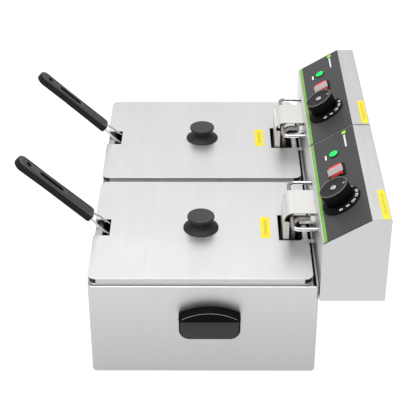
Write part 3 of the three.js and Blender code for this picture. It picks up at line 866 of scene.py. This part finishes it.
def lid_knob(side):
    low, high = box(f"lid_knob_{side}")
    middle = (low + high) / 2
    base, tall, top = (high.x - low.x) / 2, high.z - low.z, 20.75
    shape = lathe([(0, 0), (base, 0), (base, 0.9), (base - 1, 1.9), (base - 4, 3.3), (base - 8, 5.6),
        (base - 11.5, 8.4), (13.4, 11.2), (12.8, 13.4), (13.6, 15.0), (top - 2.6, 16.4),
        (top - 0.5, 17.4), (top, 18.4), (top, tall - 1.6), (top - 0.5, tall - 0.6), (top - 1.8, tall),
        (top - 3.4, tall - 0.35), (0, tall - 0.35)], 64)
    piece = make(f"lid_knob_turned_{side}", shifted(shape, middle.x, middle.y, low.z), knob_plastic,
        edge=0.7, angle=20)
    # painted light: the knob's top faces get the lighter plastic
    second_finish(piece, knob_top_plastic, lambda normal, centre: normal.z > 0.6 and centre.z > high.z - 5)
    place(piece, f"lid_{side}", "black_plastic", f"lid_knob_{side}")


def plain_label(name, middle, size, body):
    """A plain yellow label with blank bars where print would be."""
    half_x, half_y = size[0] / 2, size[1] / 2
    film = make("film", slab(rounded_rectangle(-half_x, half_x, -half_y, half_y, 0.8, 3), 0.02, 0.14),
        label_yellow)
    pitch, count = size[0] * 0.065, 11
    dash = block((0.0, -0.16 * size[1], 0.14), (0.55 * pitch, 0.16 * size[1], 0.17))
    dashes = grow("dashes", "straight_row", dash[0], [], dash[1], count=count, step=(pitch, 0.0, 0.0),
        finish=label_ink)
    dashes.data.transform(Matrix.Translation((-count * pitch / 2, 0.0, 0.0)))
    piece = joined(name, [film, dashes])
    place(piece, body, "faceplate_grey", at=Matrix.Translation(middle))


def lid_label(side):
    low, high = box(f"lid_{side}")
    centre = (low.x + high.x) / 2
    spot = (centre, high.y - 64.5, high.z)
    plain_label(f"lid_label_{side}", spot, (58, 14.6), f"lid_{side}")


# ---- baskets -------------------------------------------------------------------------

def basket_loop(low, high, inset, z, corner=20):
    return level(rounded_rectangle(low.x + inset, high.x - inset, low.y + inset, high.y - inset,
        max(corner - inset, 6), 4), z)


def basket(side):
    low, high = box(f"basket_mesh_{side}")
    rim_low, rim_high = box(f"basket_rim_{side}")
    mesh_wire, frame_wire, taper, pitch, corner = 0.8, 1.6, 7, 10, 20
    body, slot = f"basket_{side}", "chrome_wire"
    middle = (low + high) / 2
    floor, top = low.z + mesh_wire, high.z

    def crossing(axis):
        """A U-shaped mesh wire at one end of the row that runs along axis."""
        other = 1 - axis
        room = (high[axis] - low[axis]) - 2 * corner
        count = int(room / pitch) + 1
        start = middle[axis] - (count - 1) * pitch / 2
        across = [low[other] + 0.8, low[other] + taper, high[other] - taper, high[other] - 0.8]
        heights = [top, floor, floor, top]
        line = []
        for value, z in zip(across, heights):
            spot = [0.0, 0.0, z]
            spot[axis], spot[other] = start, value
            line.append(tuple(spot))
        step = [0.0, 0.0, 0.0]
        step[axis] = pitch
        return grow("row", "wire_row", line, [(0, 1), (1, 2), (2, 3)], [], wire_radius=mesh_wire,
            bend_radius=9, bend_steps=4, sides=6, count=count, step=step, finish=wire_chrome)

    hoops = []
    levels = 9
    for i in range(levels):
        share = (i + 0.6) / levels
        inset = taper * (1 - share) + 1.6
        hoops.append(basket_loop(low, high, inset, floor + (top - floor) * share))
    hoop_wires = wire("hoops", hoops, mesh_wire, 1, closed=True, sides=6)
    mesh = joined(f"basket_weave_{side}", [crossing(X), crossing(Y), hoop_wires])
    place(mesh, body, slot, f"basket_mesh_{side}")

    centre = (low.x + high.x) / 2
    rim_z = (rim_low.z + rim_high.z) / 2
    hoop = basket_loop(rim_low, rim_high, 1.5, rim_z)
    front = low.y - 1
    hoop = [(x, max(y, front), z) for x, y, z in hoop]
    rim = wire("rim", [hoop], 2.4, 1, closed=True)
    feet = wire("feet", [basket_loop(low, high, taper + 4, floor + 1.2)], frame_wire, 1, closed=True)
    props = [[(centre + x, front, rim_z), (centre + x, low.y + 1, top - 30),
        (centre + x, low.y + taper, floor + 4), (centre + x, low.y + 30, floor + 1.4)] for x in (-17, 17)]
    struts = wire("struts", props, frame_wire, 6)
    shelf = make("shelf", block((centre - 17, rim_low.y, rim_low.z),
        (centre + 17, front + 1, rim_low.z + 1.6)), wire_chrome, edge=0.5)
    hook = wire("hook", [[(centre - 20, high.y - 1, top - 20), (centre - 20, high.y + 0.5, rim_z),
        (centre + 20, high.y + 0.5, rim_z), (centre + 20, high.y - 1, top - 20)]], frame_wire, 5)
    frame_piece = joined(f"basket_frame_{side}", [rim, feet, struts, shelf, hook])
    place(frame_piece, body, slot, f"basket_rim_{side}")


def handle_frame(side):
    """Matrix of the handle: X across, Y up along it, Z out of its top face; the origin at its tip."""
    axis = Vector(JOINTS[f"handle_{side}_pull"]["axis"]).normalized()
    low, high = box(f"basket_grip_{side}")
    centre = (low.x + high.x) / 2
    half = 6
    across = Vector((-1.0, 0.0, 0.0))
    outward = across.cross(axis)
    tip = Vector((centre, low.y + half * outward.y, high.z - half * outward.z))
    matrix = Matrix((across, axis, outward)).transposed().to_4x4()
    matrix.translation = tip
    return matrix


GRIP_LENGTH = 145


def basket_handle(side):
    matrix = handle_frame(side)
    half, thick, length = 13.5, 6, GRIP_LENGTH
    outline = [(half, -length + 3), (half, -60), (half, -13), *arc_points((half - 13, -13), 13, 0, 90, 8),
        *arc_points((-half + 13, -13), 13, 90, 180, 8), (-half, -60), (-half, -length + 3),
        (-half + 4, -length), (half - 4, -length)]
    hole = shifted(lathe([(0, -10), (4.6, -10), (4.6, 10), (0, 10)], 28), 0.0, -19)
    slot = slab(rounded_rectangle(-4.3, 4.3, -85, -40, 4.2), -10, 10)
    grooves = [slab(rounded_rectangle(x - 1.1, x + 1.1, -136, -92, 1.0), thick - 1.4, thick + 1)
        for x in (-3.4, 3.4)]
    panel = slab(rounded_rectangle(-9.5, 9.5, -139, -8, 9), thick - 0.6, thick + 1)
    ridge = slab(rounded_rectangle(-7.6, 7.6, -137, -10, 7.4), thick - 1, thick - 0.1)
    shape = slab(outline, -thick, thick)
    crown = [(x * (1.0 - 0.10 * math.sin(math.pi * min(1.0, -y / length))), y, z)
        for x, y, z in shape[0]], shape[1]
    grip = make(f"basket_grip_moulded_{side}", crown, grip_plastic, edge=2.4, segments=4)
    grip = carved(grip, [panel])
    inlay = carved(make("inlay", ridge, grip_plastic, edge=0.3), [hole, slot, *grooves])
    grip = joined(grip.name, [carved(grip, [hole, slot]), inlay])
    # painted light: the grip's upward faces get the lighter plastic
    second_finish(grip, grip_top_plastic, lambda normal, centre: normal.z > 0.75)
    place(grip, f"basket_handle_{side}", "black_plastic", f"basket_grip_{side}", at=matrix)

    wide, narrow, start, low_end = 14, 10, -length, -length - 53
    route = [(narrow, start + 6, 0), (narrow, start - 5, 0), (wide, start - 15, 0), (wide, low_end, 0),
        (-wide, low_end, 0), (-wide, start - 15, 0), (-narrow, start - 5, 0), (-narrow, start + 6, 0)]
    stem = wire(f"handle_wire_bent_{side}", [route], 1.7, 5, stem_steel)
    place(stem, f"basket_handle_{side}", "chrome_wire", f"handle_wires_{side}", at=matrix)


# ---- what hangs over the rear of each tank -------------------------------------------

def drain_hook(side):
    low, high = box(f"drain_hook_{side}")
    half = (high.z - low.z) / 2
    radius = half + 0.5
    z = (low.z + high.z) / 2
    x0, x1, y0 = low.x + half, high.x - half, low.y + half
    back = high.y + 1.5
    hook = wire(f"drain_hook_bent_{side}", [[(x1, back, z), (x1, y0, z), (x0, y0, z), (x0, back, z)]],
        radius, 9, hook_chrome)
    collar = ring([(radius, 0), (radius + 1.6, 0), (radius + 1.6, 1.2), (radius, 1.8)], 24)
    collars = [make("collar", moved(collar, Matrix.Translation((x, high.y - 1.6, z)) @ TURN_TO_BACK),
        hook_chrome) for x in (x0, x1)]
    place(joined(f"drain_hook_bent_{side}", [hook, *collars]), f"head_{side}", "chrome_wire",
        f"drain_hook_{side}")


def riser_cover(side):
    """Bent cover: flat on top, a round bend, then a leg down into the tank with a flange on each side."""
    low, high = box(f"riser_cover_{side}")
    centre, half = (low.x + high.x) / 2, (high.x - low.x) / 2
    bend, flange, lip, flange_top = 14, 8.6, 0.6, high.z - 15
    stations = [(high.y, high.z), (low.y + bend, high.z)]
    stations += [(low.y + bend + y, high.z - bend + z)
        for y, z in arc_points((0.0, 0.0), bend, 101.25, 180, 7)]
    stations += [(low.y, flange_top), (low.y, low.z)]
    top = skin([[(centre - half, y, z), (centre + half, y, z)] for y, z in stations], closed_rows=False)
    sides = []
    for x in (centre - half, centre + half):
        sides.append(skin([[(x, low.y, flange_top), (x, low.y + flange, flange_top - 1)],
            [(x, low.y, low.z), (x, low.y + flange, low.z)]], closed_rows=False))
    shape = together(top, *sides)
    piece = make(f"riser_cover_bent_{side}", shape, cover_steel, fold=lip, sheet=SHEET)
    # painted shade: the flanks and the lower leg get the darker copy of the cover steel
    second_finish(piece, leg_steel, lambda normal, middle: abs(normal.x) > 0.8 or middle.z < high.z - 15)
    place(piece, f"head_{side}", "casing_steel", f"riser_cover_{side}")


def hanger_straps(side):
    """Two narrow flanged straps that hook the head over the rear wall of the tank."""
    low, high = box(f"hanger_bracket_{side}")
    wide, thick, leg_y, flange = 8, 1.5, low.y + 3.7, 7
    parts = []
    for x0, x1 in ((low.x, low.x + wide), (high.x - wide, high.x)):
        edge = x1 if x1 == high.x else x0 + thick
        shapes = (block((x0, leg_y, high.z - thick), (x1, high.y, high.z)),
            block((x0, leg_y, low.z), (x1, leg_y + thick, high.z)),
            block((edge - thick, leg_y - flange, low.z), (edge, leg_y + thick, high.z)))
        parts += [make("strap", shape, cover_steel, edge=0.3, segments=2) for shape in shapes]
    place(joined(f"hanger_straps_{side}", parts), f"head_{side}", "tank_steel", f"hanger_bracket_{side}")


def heating_element(side):
    low, high = box(f"heating_element_{side}")
    centre = (low.x + high.x) / 2
    radius, half, back = 4, 20, high.y + 1
    leg_y, exit_z, floor = 136.5, 211, low.z + 4
    rear, front = leg_y - 14, low.y + 5.5
    lane_rear = front + 196
    lanes = [(78, rear - 18), (78, front), (46, front), (46, lane_rear), (16, lane_rear), (16, front)]
    right = [(half, back, exit_z), (half, leg_y, exit_z), (half, leg_y, floor + 30), (half + 10, rear, floor)]
    right += [(x, y, floor) for x, y in lanes]
    route = right + [(-x, y, z) for x, y, z in reversed(right)]
    tube = wire("tube", [[(centre + x, y, z) for x, y, z in route]], radius, 12, element_steel)
    nuts = []
    for x in (-half, half):
        for depth, across in ((6, 8.2), (1.4, 9.6)):
            sides = 6 if depth > 2 else 32
            nut = ring([(radius, 0), (across, 0), (across, depth), (radius, depth)], sides)
            spot = Matrix.Translation((centre + x, high.y - (7.6 if sides == 6 else 1.5), exit_z))
            nuts.append(make("nut", moved(nut, spot @ TURN_TO_BACK), wire_chrome, edge=0.5))
    piece = joined(f"heating_element_bent_{side}", [tube, *nuts])
    place(piece, f"head_{side}", "element_steel", f"heating_element_{side}")


# ---- control heads -------------------------------------------------------------------

def panel_frame(side):
    """Matrix of the sloping panel: X across, Y up the slope, Z out; the origin in its middle."""
    dial, rocker = JOINTS[f"dial_{side}_turn"], JOINTS[f"rocker_{side}_press"]
    outward = -Vector(dial["axis"]).normalized()
    upward = -Vector(rocker["axis"]).normalized()
    low, high = box(f"head_shell_{side}")
    spot = Vector(dial["pos_m"]) / MM - outward * 2
    spot.x = (low.x + high.x) / 2
    matrix = Matrix((Vector((1.0, 0.0, 0.0)), upward, outward)).transposed().to_4x4()
    matrix.translation = spot
    return matrix


LAMP_X = -79
BEZEL_BASE = 1.4


def control_x(joint, side):
    """Where a control's joint stands on its panel, across from the middle."""
    low, high = box(f"head_shell_{side}")
    return JOINTS[joint]["pos_m"][0] / MM - (low.x + high.x) / 2


def head_section(side):
    """Front, back, bottom, top, low end of the slope and ridge of a head, in the Y-Z plane."""
    low, high = box(f"head_shell_{side}")
    matrix = panel_frame(side)
    rise = matrix.col[1].z / matrix.col[1].y
    middle_y, middle_z = matrix.translation.y, matrix.translation.z
    slope_low = middle_z - (middle_y - low.y) * rise
    ridge = middle_y + (high.z - middle_z) / rise
    return low.y, high.y, low.z, high.z, slope_low, ridge


def control_head(side):
    low, high = box(f"head_shell_{side}")
    front, back, bottom, top, slope_low, ridge = head_section(side)
    body, end = f"head_{side}", 1.3
    profile = [(back, bottom + 0.2), (front + 0.1, bottom), (front, slope_low), (ridge, top),
        (back - 0.4, top), (back - 0.4, top - 8)]
    x0, x1 = low.x + end + 0.35, high.x - end - 0.35
    rows = [[(x0, y, z), (x1, y, z)] for y, z in profile]
    wrap = make(f"head_wrap_{side}", skin(rows, closed_rows=False), head_steel, fold=1.6, sheet=SHEET,
        turn=False)
    outline = [(front, bottom), (back, bottom), (back, top), (ridge, top), (front, slope_low)]
    ends = []
    for x in (low.x, high.x - end):
        plate = moved(slab(outline, x, x + end), ALONG_X)
        ends.append(make("end", plate, head_end_steel, edge=0.35, segments=2))
    place(wrap, body, "casing_steel", f"head_shell_{side}")
    place(joined(f"head_ends_{side}", ends), body, "casing_steel")


def head_back(side):
    low, high = box(f"head_back_{side}")
    body = f"head_{side}"
    centre_x, centre_z = (low.x + high.x) / 2, (low.z + high.z) / 2
    half_x, half_z = (high.x - low.x) / 2, (high.z - low.z) / 2
    gland_low, gland_high = box(f"cable_gland_{side}")
    guard_low, guard_high = box(f"reset_guard_{side}")
    bores = [(gland_low + gland_high) / 2, (guard_low + guard_high) / 2]
    cutters = [shifted(lathe([(0, -9), (7.2, -9), (7.2, 9), (0, 9)], 28), bore.x - centre_x,
        -(bore.z - centre_z)) for bore in bores]
    slot = slab(rounded_rectangle(-1.5, 1.5, -11, 11, 1.45, 4), -5, 5)
    slots = grow("slots", "straight_row", slot[0], [], slot[1], count=14, step=(7, 0.0, 0.0),
        finish=head_end_steel)
    slots.data.transform(Matrix.Translation((-46, -34, 0.0)))
    outline = rounded_rectangle(-half_x, half_x, -half_z, half_z, 2, 3)
    cover = make(f"head_back_vented_{side}", slab(outline, low.y - high.y, 0.0), head_end_steel,
        edge=0.3, segments=2)
    outwards(slots.data)
    subtract(cover, [slots])
    cover = carved(cover, cutters)
    screws = [screw(x * (half_x - 7), y * (half_z - 6)) for x in (-1, 0, 1) for y in (-1, 1)]
    cover = joined(f"head_back_vented_{side}", [cover, *screws])
    place(cover, body, "casing_steel", f"head_back_{side}",
        at=Matrix.Translation((centre_x, high.y, centre_z)) @ TURN_TO_BACK)


def screw(x, y):
    """A pan-head screw with a cross recess, standing on the X-Y plane."""
    head = make("screw", lathe([(0, -0.2), (3.1, -0.2), (3.1, 0.5), (2.6, 1.3), (1.4, 1.8), (0, 1.9)],
        24), wire_chrome)
    bars = [block((-1.9, -0.35, 0.9), (1.9, 0.35, 3)), block((-0.35, -1.9, 0.9), (0.35, 1.9, 3))]
    head = carved(head, bars)
    head.data.transform(Matrix.Translation((x, y, 0.0)))
    return head


def faceplate(side):
    """Dark overlay on a thin plate, with a green strip along its lower edge."""
    matrix = panel_frame(side)
    body = f"head_{side}"
    half_x, half_y, shift, thick = 137.2, 38.2, 0.6, 0.8
    dial_x, rocker_x = control_x(f"dial_{side}_turn", side), control_x(f"rocker_{side}_press", side)
    window = ((14.5, -11.5), (14.5, 11.5), (-14.5, 11.5), (-14.5, -11.5))
    holes = [[(dial_x + x, y) for x, y in arc_points((0, 0), 5.5, 0, 345, 23)],
        [(rocker_x + x, y) for x, y in window],
        [(LAMP_X + x, y) for x, y in arc_points((0, 0), 6.5, 0, 345, 23)]]
    outline = rounded_rectangle(-half_x, half_x, shift - half_y, shift + half_y, 1, 3)
    plate = make(f"faceplate_overlay_{side}", slab(outline, 0.1, 0.3 + thick, holes), overlay_grey)
    place(plate, body, "faceplate_grey", f"faceplate_{side}", at=matrix)
    bottom = shift - half_y
    strip = make(f"faceplate_green_strip_{side}",
        slab(rounded_rectangle(-half_x + 0.4, half_x - 0.4, bottom + 1.5, bottom + 6.4, 0.6, 2),
        0.3 + thick, 0.46 + thick), strip_green)
    place(strip, body, "faceplate_grey", at=matrix)
    margin = make(f"faceplate_margin_{side}", slab(rounded_rectangle(-half_x + 0.2, half_x - 0.2,
        bottom + 0.1, bottom + 1.4, 0.4, 2), 0.3 + thick, 0.44 + thick), cover_steel)
    place(margin, body, "casing_steel", at=matrix)
    top = 0.3 + thick
    printed = (("stroke", print_white, (LAMP_X - 7.5, LAMP_X + 5.5, -15.3, -12.9)),
        ("bar", mark_pale, (-122, -85, 20.4, 23.2)), ("tab", mark_green, (-133, -125.5, 18.6, 25.4)))
    for label, ink, (x0, x1, y0, y1) in printed:
        mark = make(f"faceplate_{label}_{side}", slab(rounded_rectangle(x0, x1, y0, y1, 1, 3), top,
            top + 0.1), ink)
        place(mark, body, "faceplate_grey", at=matrix)


def dial(side):
    """Ribbed knob with a dished top, on a skirt that carries the numbers."""
    low_z, skirt_r, grip_r, tall = 2.0, 30, 23, 28
    body = f"dial_{side}"
    matrix = panel_frame(side) @ Matrix.Translation((control_x(f"dial_{side}_turn", side), 0.0, 0.0))
    top = low_z + tall
    band_low, band_high = low_z + 2.4, low_z + 4.4
    core = make("core", lathe([(0, low_z), (skirt_r - 0.6, low_z), (skirt_r, low_z + 0.7),
        (skirt_r - 0.3, band_low), (grip_r - 0.6, band_high), (grip_r - 2.2, band_high + 1.2),
        (grip_r - 2.0, band_high + 3.4), (grip_r - 1.0, top - 5), (grip_r - 0.8, top - 1.6),
        (grip_r - 1.6, top - 0.5), (grip_r - 4.2, top - 1.5), (grip_r - 8, top - 2.4), (8, top - 2.6),
        (6.4, top - 1.4), (0, top - 1.3)], 72), dial_plastic, edge=0.3, angle=25)
    # painted light: the dial's top faces get the lighter plastic
    second_finish(core, dial_top_plastic, lambda normal, centre: normal.z > 0.6 and centre.z > top - 4)
    # painted highlight: the raised rim is coloured lighter than the dial
    rim = make("rim", ring([(grip_r - 1.5, top - 1.2), (grip_r - 0.7, top - 1.3),
        (grip_r - 0.5, top - 0.6), (grip_r - 0.9, top), (grip_r - 1.7, top - 0.1),
        (grip_r - 2.1, top - 0.7)], 72), rim_plastic)
    cap = make("cap", lathe([(0, top - 1.4), (4.6, top - 1.4), (4.6, top - 1), (3.6, top - 0.5),
        (0, top - 0.3)], 32), wire_chrome, edge=0.2)
    rib = block((-0.5, -0.5, band_high + 2), (0.6, 0.5, top - 2.6))
    ribs = grow("ribs", "round_row", rib[0], [], rib[1], count=54, radius=grip_r - 1.2, start=0.0,
        sweep=2 * math.pi, finish=dial_plastic)
    knob = joined(f"dial_knob_{side}", [core, rim, cap, ribs])
    place(knob, body, "black_plastic", f"dial_{side}", at=matrix)

    slant = math.atan2(band_high - band_low, skirt_r - 0.3 - (grip_r - 0.6))

    def on_skirt(radius):
        return band_low + (skirt_r - 0.3 - radius) * math.tan(slant)

    reach = skirt_r - 3.6
    pieces = []
    for i, label in enumerate(("60", "90", "120", "150", "180")):
        pieces.append(number(label, math.radians(-5 + 25 * i), reach, on_skirt(reach) + 0.08, slant))
    dash = moved(block((-0.55, -0.9, -0.1), (0.55, 0.9, 0.15)), Matrix.Rotation(slant, 4, "Y"))
    rest_mark = grow("rest_mark", "round_row", dash[0], [], dash[1], count=9, radius=reach + 1.6,
        start=math.radians(133), sweep=math.radians(30), finish=print_white)
    rest_mark.data.transform(Matrix.Translation((0.0, 0.0, on_skirt(reach + 1.6))))
    pointer = make("pointer", block((-0.4, grip_r - 8, top - 2.6), (0.4, grip_r - 3, top - 1.3)),
        print_white)
    scale = joined(f"dial_scale_{side}", [*pieces, rest_mark, pointer])
    place(scale, body, "faceplate_grey", at=matrix)


def number(label, angle, radius, height, slant):
    """A printed number lying on the dial's skirt, its foot towards the rim."""
    data = bpy.data.curves.new("number", "FONT")
    data.body, data.size, data.extrude = label, 5.7, 0.08
    data.align_x, data.align_y, data.resolution_u = "CENTER", "CENTER", 2
    text = bpy.data.objects.new("number", data)
    bpy.context.scene.collection.objects.link(text)
    bpy.context.view_layer.update()
    graph = bpy.context.evaluated_depsgraph_get()
    mesh = bpy.data.meshes.new_from_object(text.evaluated_get(graph))
    bpy.data.objects.remove(text)
    piece = bpy.data.objects.new("number", mesh)
    bpy.context.scene.collection.objects.link(piece)
    mesh.materials.clear()
    mesh.materials.append(print_white)
    tip = Matrix.Rotation(slant, 4, "Y")
    spin = Matrix.Rotation(math.radians(90), 4, "Z")
    mesh.transform(Matrix.Rotation(angle, 4, "Z") @ Matrix.Translation((radius, 0.0, height)) @ tip @ spin)
    return piece


def pilot_lamp(side):
    body = f"head_{side}"
    matrix = panel_frame(side) @ Matrix.Translation((LAMP_X, 0.0, 0.0))
    top = BEZEL_BASE
    lens = make(f"pilot_lens_{side}", lathe([(0, -6), (5.6, -6), (5.6, top), (7, top), (7.2, top + 1.2),
        (6.6, top + 2.2), (5.0, top + 3.0), (2.6, top + 3.5), (0, top + 3.6)], 40), lamp_green, edge=0.3,
        angle=40)
    place(lens, body, "green_lens", f"pilot_lamp_{side}", at=matrix)
    collar = make(f"pilot_collar_{side}", ring([(6.7, top - 0.2), (8, top - 0.2), (8, top + 0.8),
        (7.4, top + 1.5), (6.7, top + 1.5)], 40), black_plastic, edge=0.2)
    place(collar, body, "black_plastic", at=matrix)


def power_switch(side):
    matrix = panel_frame(side) @ Matrix.Translation((control_x(f"rocker_{side}_press", side), 0.0, 0.0))
    top, well = BEZEL_BASE, block((-13.4, -10.4, -7), (13.4, 10.4, 20))
    bezel = make(f"switch_bezel_{side}", slab(rounded_rectangle(-16, 16, -14, 14, 1.5, 4), top - 0.2,
        top + 2.2), black_plastic, edge=0.8)
    bezel = carved(bezel, [well])
    cup = make("cup", block((-14.1, -11.1, -9), (14.1, 11.1, top)), black_plastic, cutters=[well])
    bezel = joined(f"switch_bezel_{side}", [bezel, cup])
    place(bezel, f"head_{side}", "black_plastic", f"switch_housing_{side}", at=matrix)

    tilt, half, crown = math.radians(8), 12.4, 7
    rise = half * math.tan(tilt)
    outline = [(-half + 2, -3), (half - 2, -3), (half, crown + rise), (half * 0.5, crown + 0.42 * rise),
        (0.0, crown), (-half * 0.5, crown + 0.42 * rise), (-half, crown + rise)]
    side_on = Matrix.Rotation(math.radians(90), 4, "X")
    rock = Matrix.Translation((0.0, 0.0, -2)) @ Matrix.Rotation(tilt, 4, "Y")
    rocker = make(f"rocker_lens_{side}", moved(slab(outline, -9.8, 9.8), side_on), rocker_red, edge=0.7)
    # painted shade: the rocker's faces towards the near end get the dark red copy
    second_finish(rocker, rocker_dark_red, lambda normal, centre: normal.x > 0.75)
    place(rocker, f"rocker_{side}", "red_plastic", f"rocker_{side}", at=matrix @ rock)
    film_rows = []
    for x, lift in ((-7.8, 1.5), (-6.5, 0.9), (-4.0, 0.35), (0.0, 0.3), (4.0, 0.35), (6.6, 0.5)):
        sag = crown + abs(x) * math.tan(tilt) * 0.9 + lift
        film_rows.append([(x, -13.2, sag - 0.9), (x, -9.6, sag), (x, 9.6, sag), (x, 11.2, sag - 0.5)])
    film = make(f"rocker_film_{side}", skin(film_rows, closed_rows=False), film_pale, sheet=0.12, turn=False)
    place(film, f"rocker_{side}", "red_plastic", at=matrix @ rock)
    # painted shade: a dark red bar across the near end of the rocker top
    bar = moved(block((7.4, -9.4, -0.3), (11.8, 9.4, 0.25)),
        Matrix.Translation((0.0, 0.0, crown)) @ Matrix.Rotation(-tilt * 0.9, 4, "Y"))
    end = make(f"rocker_end_{side}", bar, rocker_dark_red, edge=0.1)
    place(end, f"rocker_{side}", "red_plastic", at=matrix @ rock)


def head_label(side):
    low, high = box(f"head_shell_{side}")
    centre = (low.x + high.x) / 2
    spot = (centre + 96, high.y - 7.2, high.z)
    plain_label(f"head_label_{side}", spot, (77, 10.7), f"head_{side}")


def reset_parts(side):
    low, high = box(f"reset_guard_{side}")
    button_high = box(f"reset_button_{side}")[1]
    back = box(f"head_back_{side}")[1].y
    spot = Matrix.Translation(((low.x + high.x) / 2, back, (low.z + high.z) / 2)) @ TURN_TO_BACK
    guard = make(f"reset_collar_{side}", moved(ring([(5.4, -6), (6.8, -6), (6.8, 0.2), (11, 0.2),
        (11, 2.4), (9.4, 4), (9, 6), (5.4, 6)]), spot), black_plastic, edge=0.5)
    place(guard, f"head_{side}", "black_plastic", f"reset_guard_{side}")
    tall = button_high.y - back
    button = make(f"reset_cap_{side}", moved(lathe([(0, -5), (4.9, -5), (4.9, tall - 1.2),
        (4.3, tall - 0.3), (2.6, tall), (0, tall)]), spot), rocker_red, edge=0.3)
    place(button, f"reset_{side}", "red_plastic", f"reset_button_{side}")


def cable_gland(side):
    low, high = box(f"cable_gland_{side}")
    back = box(f"head_back_{side}")[1].y
    spot = Matrix.Translation(((low.x + high.x) / 2, back, (low.z + high.z) / 2)) @ TURN_TO_BACK
    tall, bore = high.y - back, 3.6
    nut = make("nut", ring([(bore, -5), (6.8, -5), (6.8, 0.2), (9, 0.2), (9, 5), (bore, 5)], 6),
        black_plastic, edge=0.5)
    cap = make("cap", ring([(bore, 4), (7.6, 4), (7.4, 9), (5.4, tall), (bore, tall)], 36), black_plastic,
        edge=0.6)
    rib = block((-0.3, -0.5, 5.4), (0.5, 0.5, 9))
    ribs = grow("ribs", "round_row", rib[0], [], rib[1], count=16, radius=7.4, start=0.0,
        sweep=2 * math.pi, finish=black_plastic)
    gland = joined(f"cable_gland_ribbed_{side}", [nut, cap, ribs])
    place(gland, f"head_{side}", "black_plastic", f"cable_gland_{side}", at=spot)


# ---- everything together -------------------------------------------------------------

outer_casing()
dress("base_plate", tank_steel)
for side, sign in SIDES:
    oil_tank(side)
    rubber_foot(f"foot_front_{side}")
    rubber_foot(f"foot_rear_{side}")
    carry_handle(side, sign)
    lid_sheet(side)
    lid_knob(side)
    lid_label(side)
    basket(side)
    basket_handle(side)
    drain_hook(side)
    riser_cover(side)
    hanger_straps(side)
    heating_element(side)
    control_head(side)
    head_back(side)
    faceplate(side)
    dial(side)
    pilot_lamp(side)
    power_switch(side)
    head_label(side)
    reset_parts(side)
    cable_gland(side)
    for node, material in (("thermostat", ceramic), ("terminal_block", ceramic),
            ("thermostat_bulb", element_steel)):
        dress(f"{node}_{side}", material)
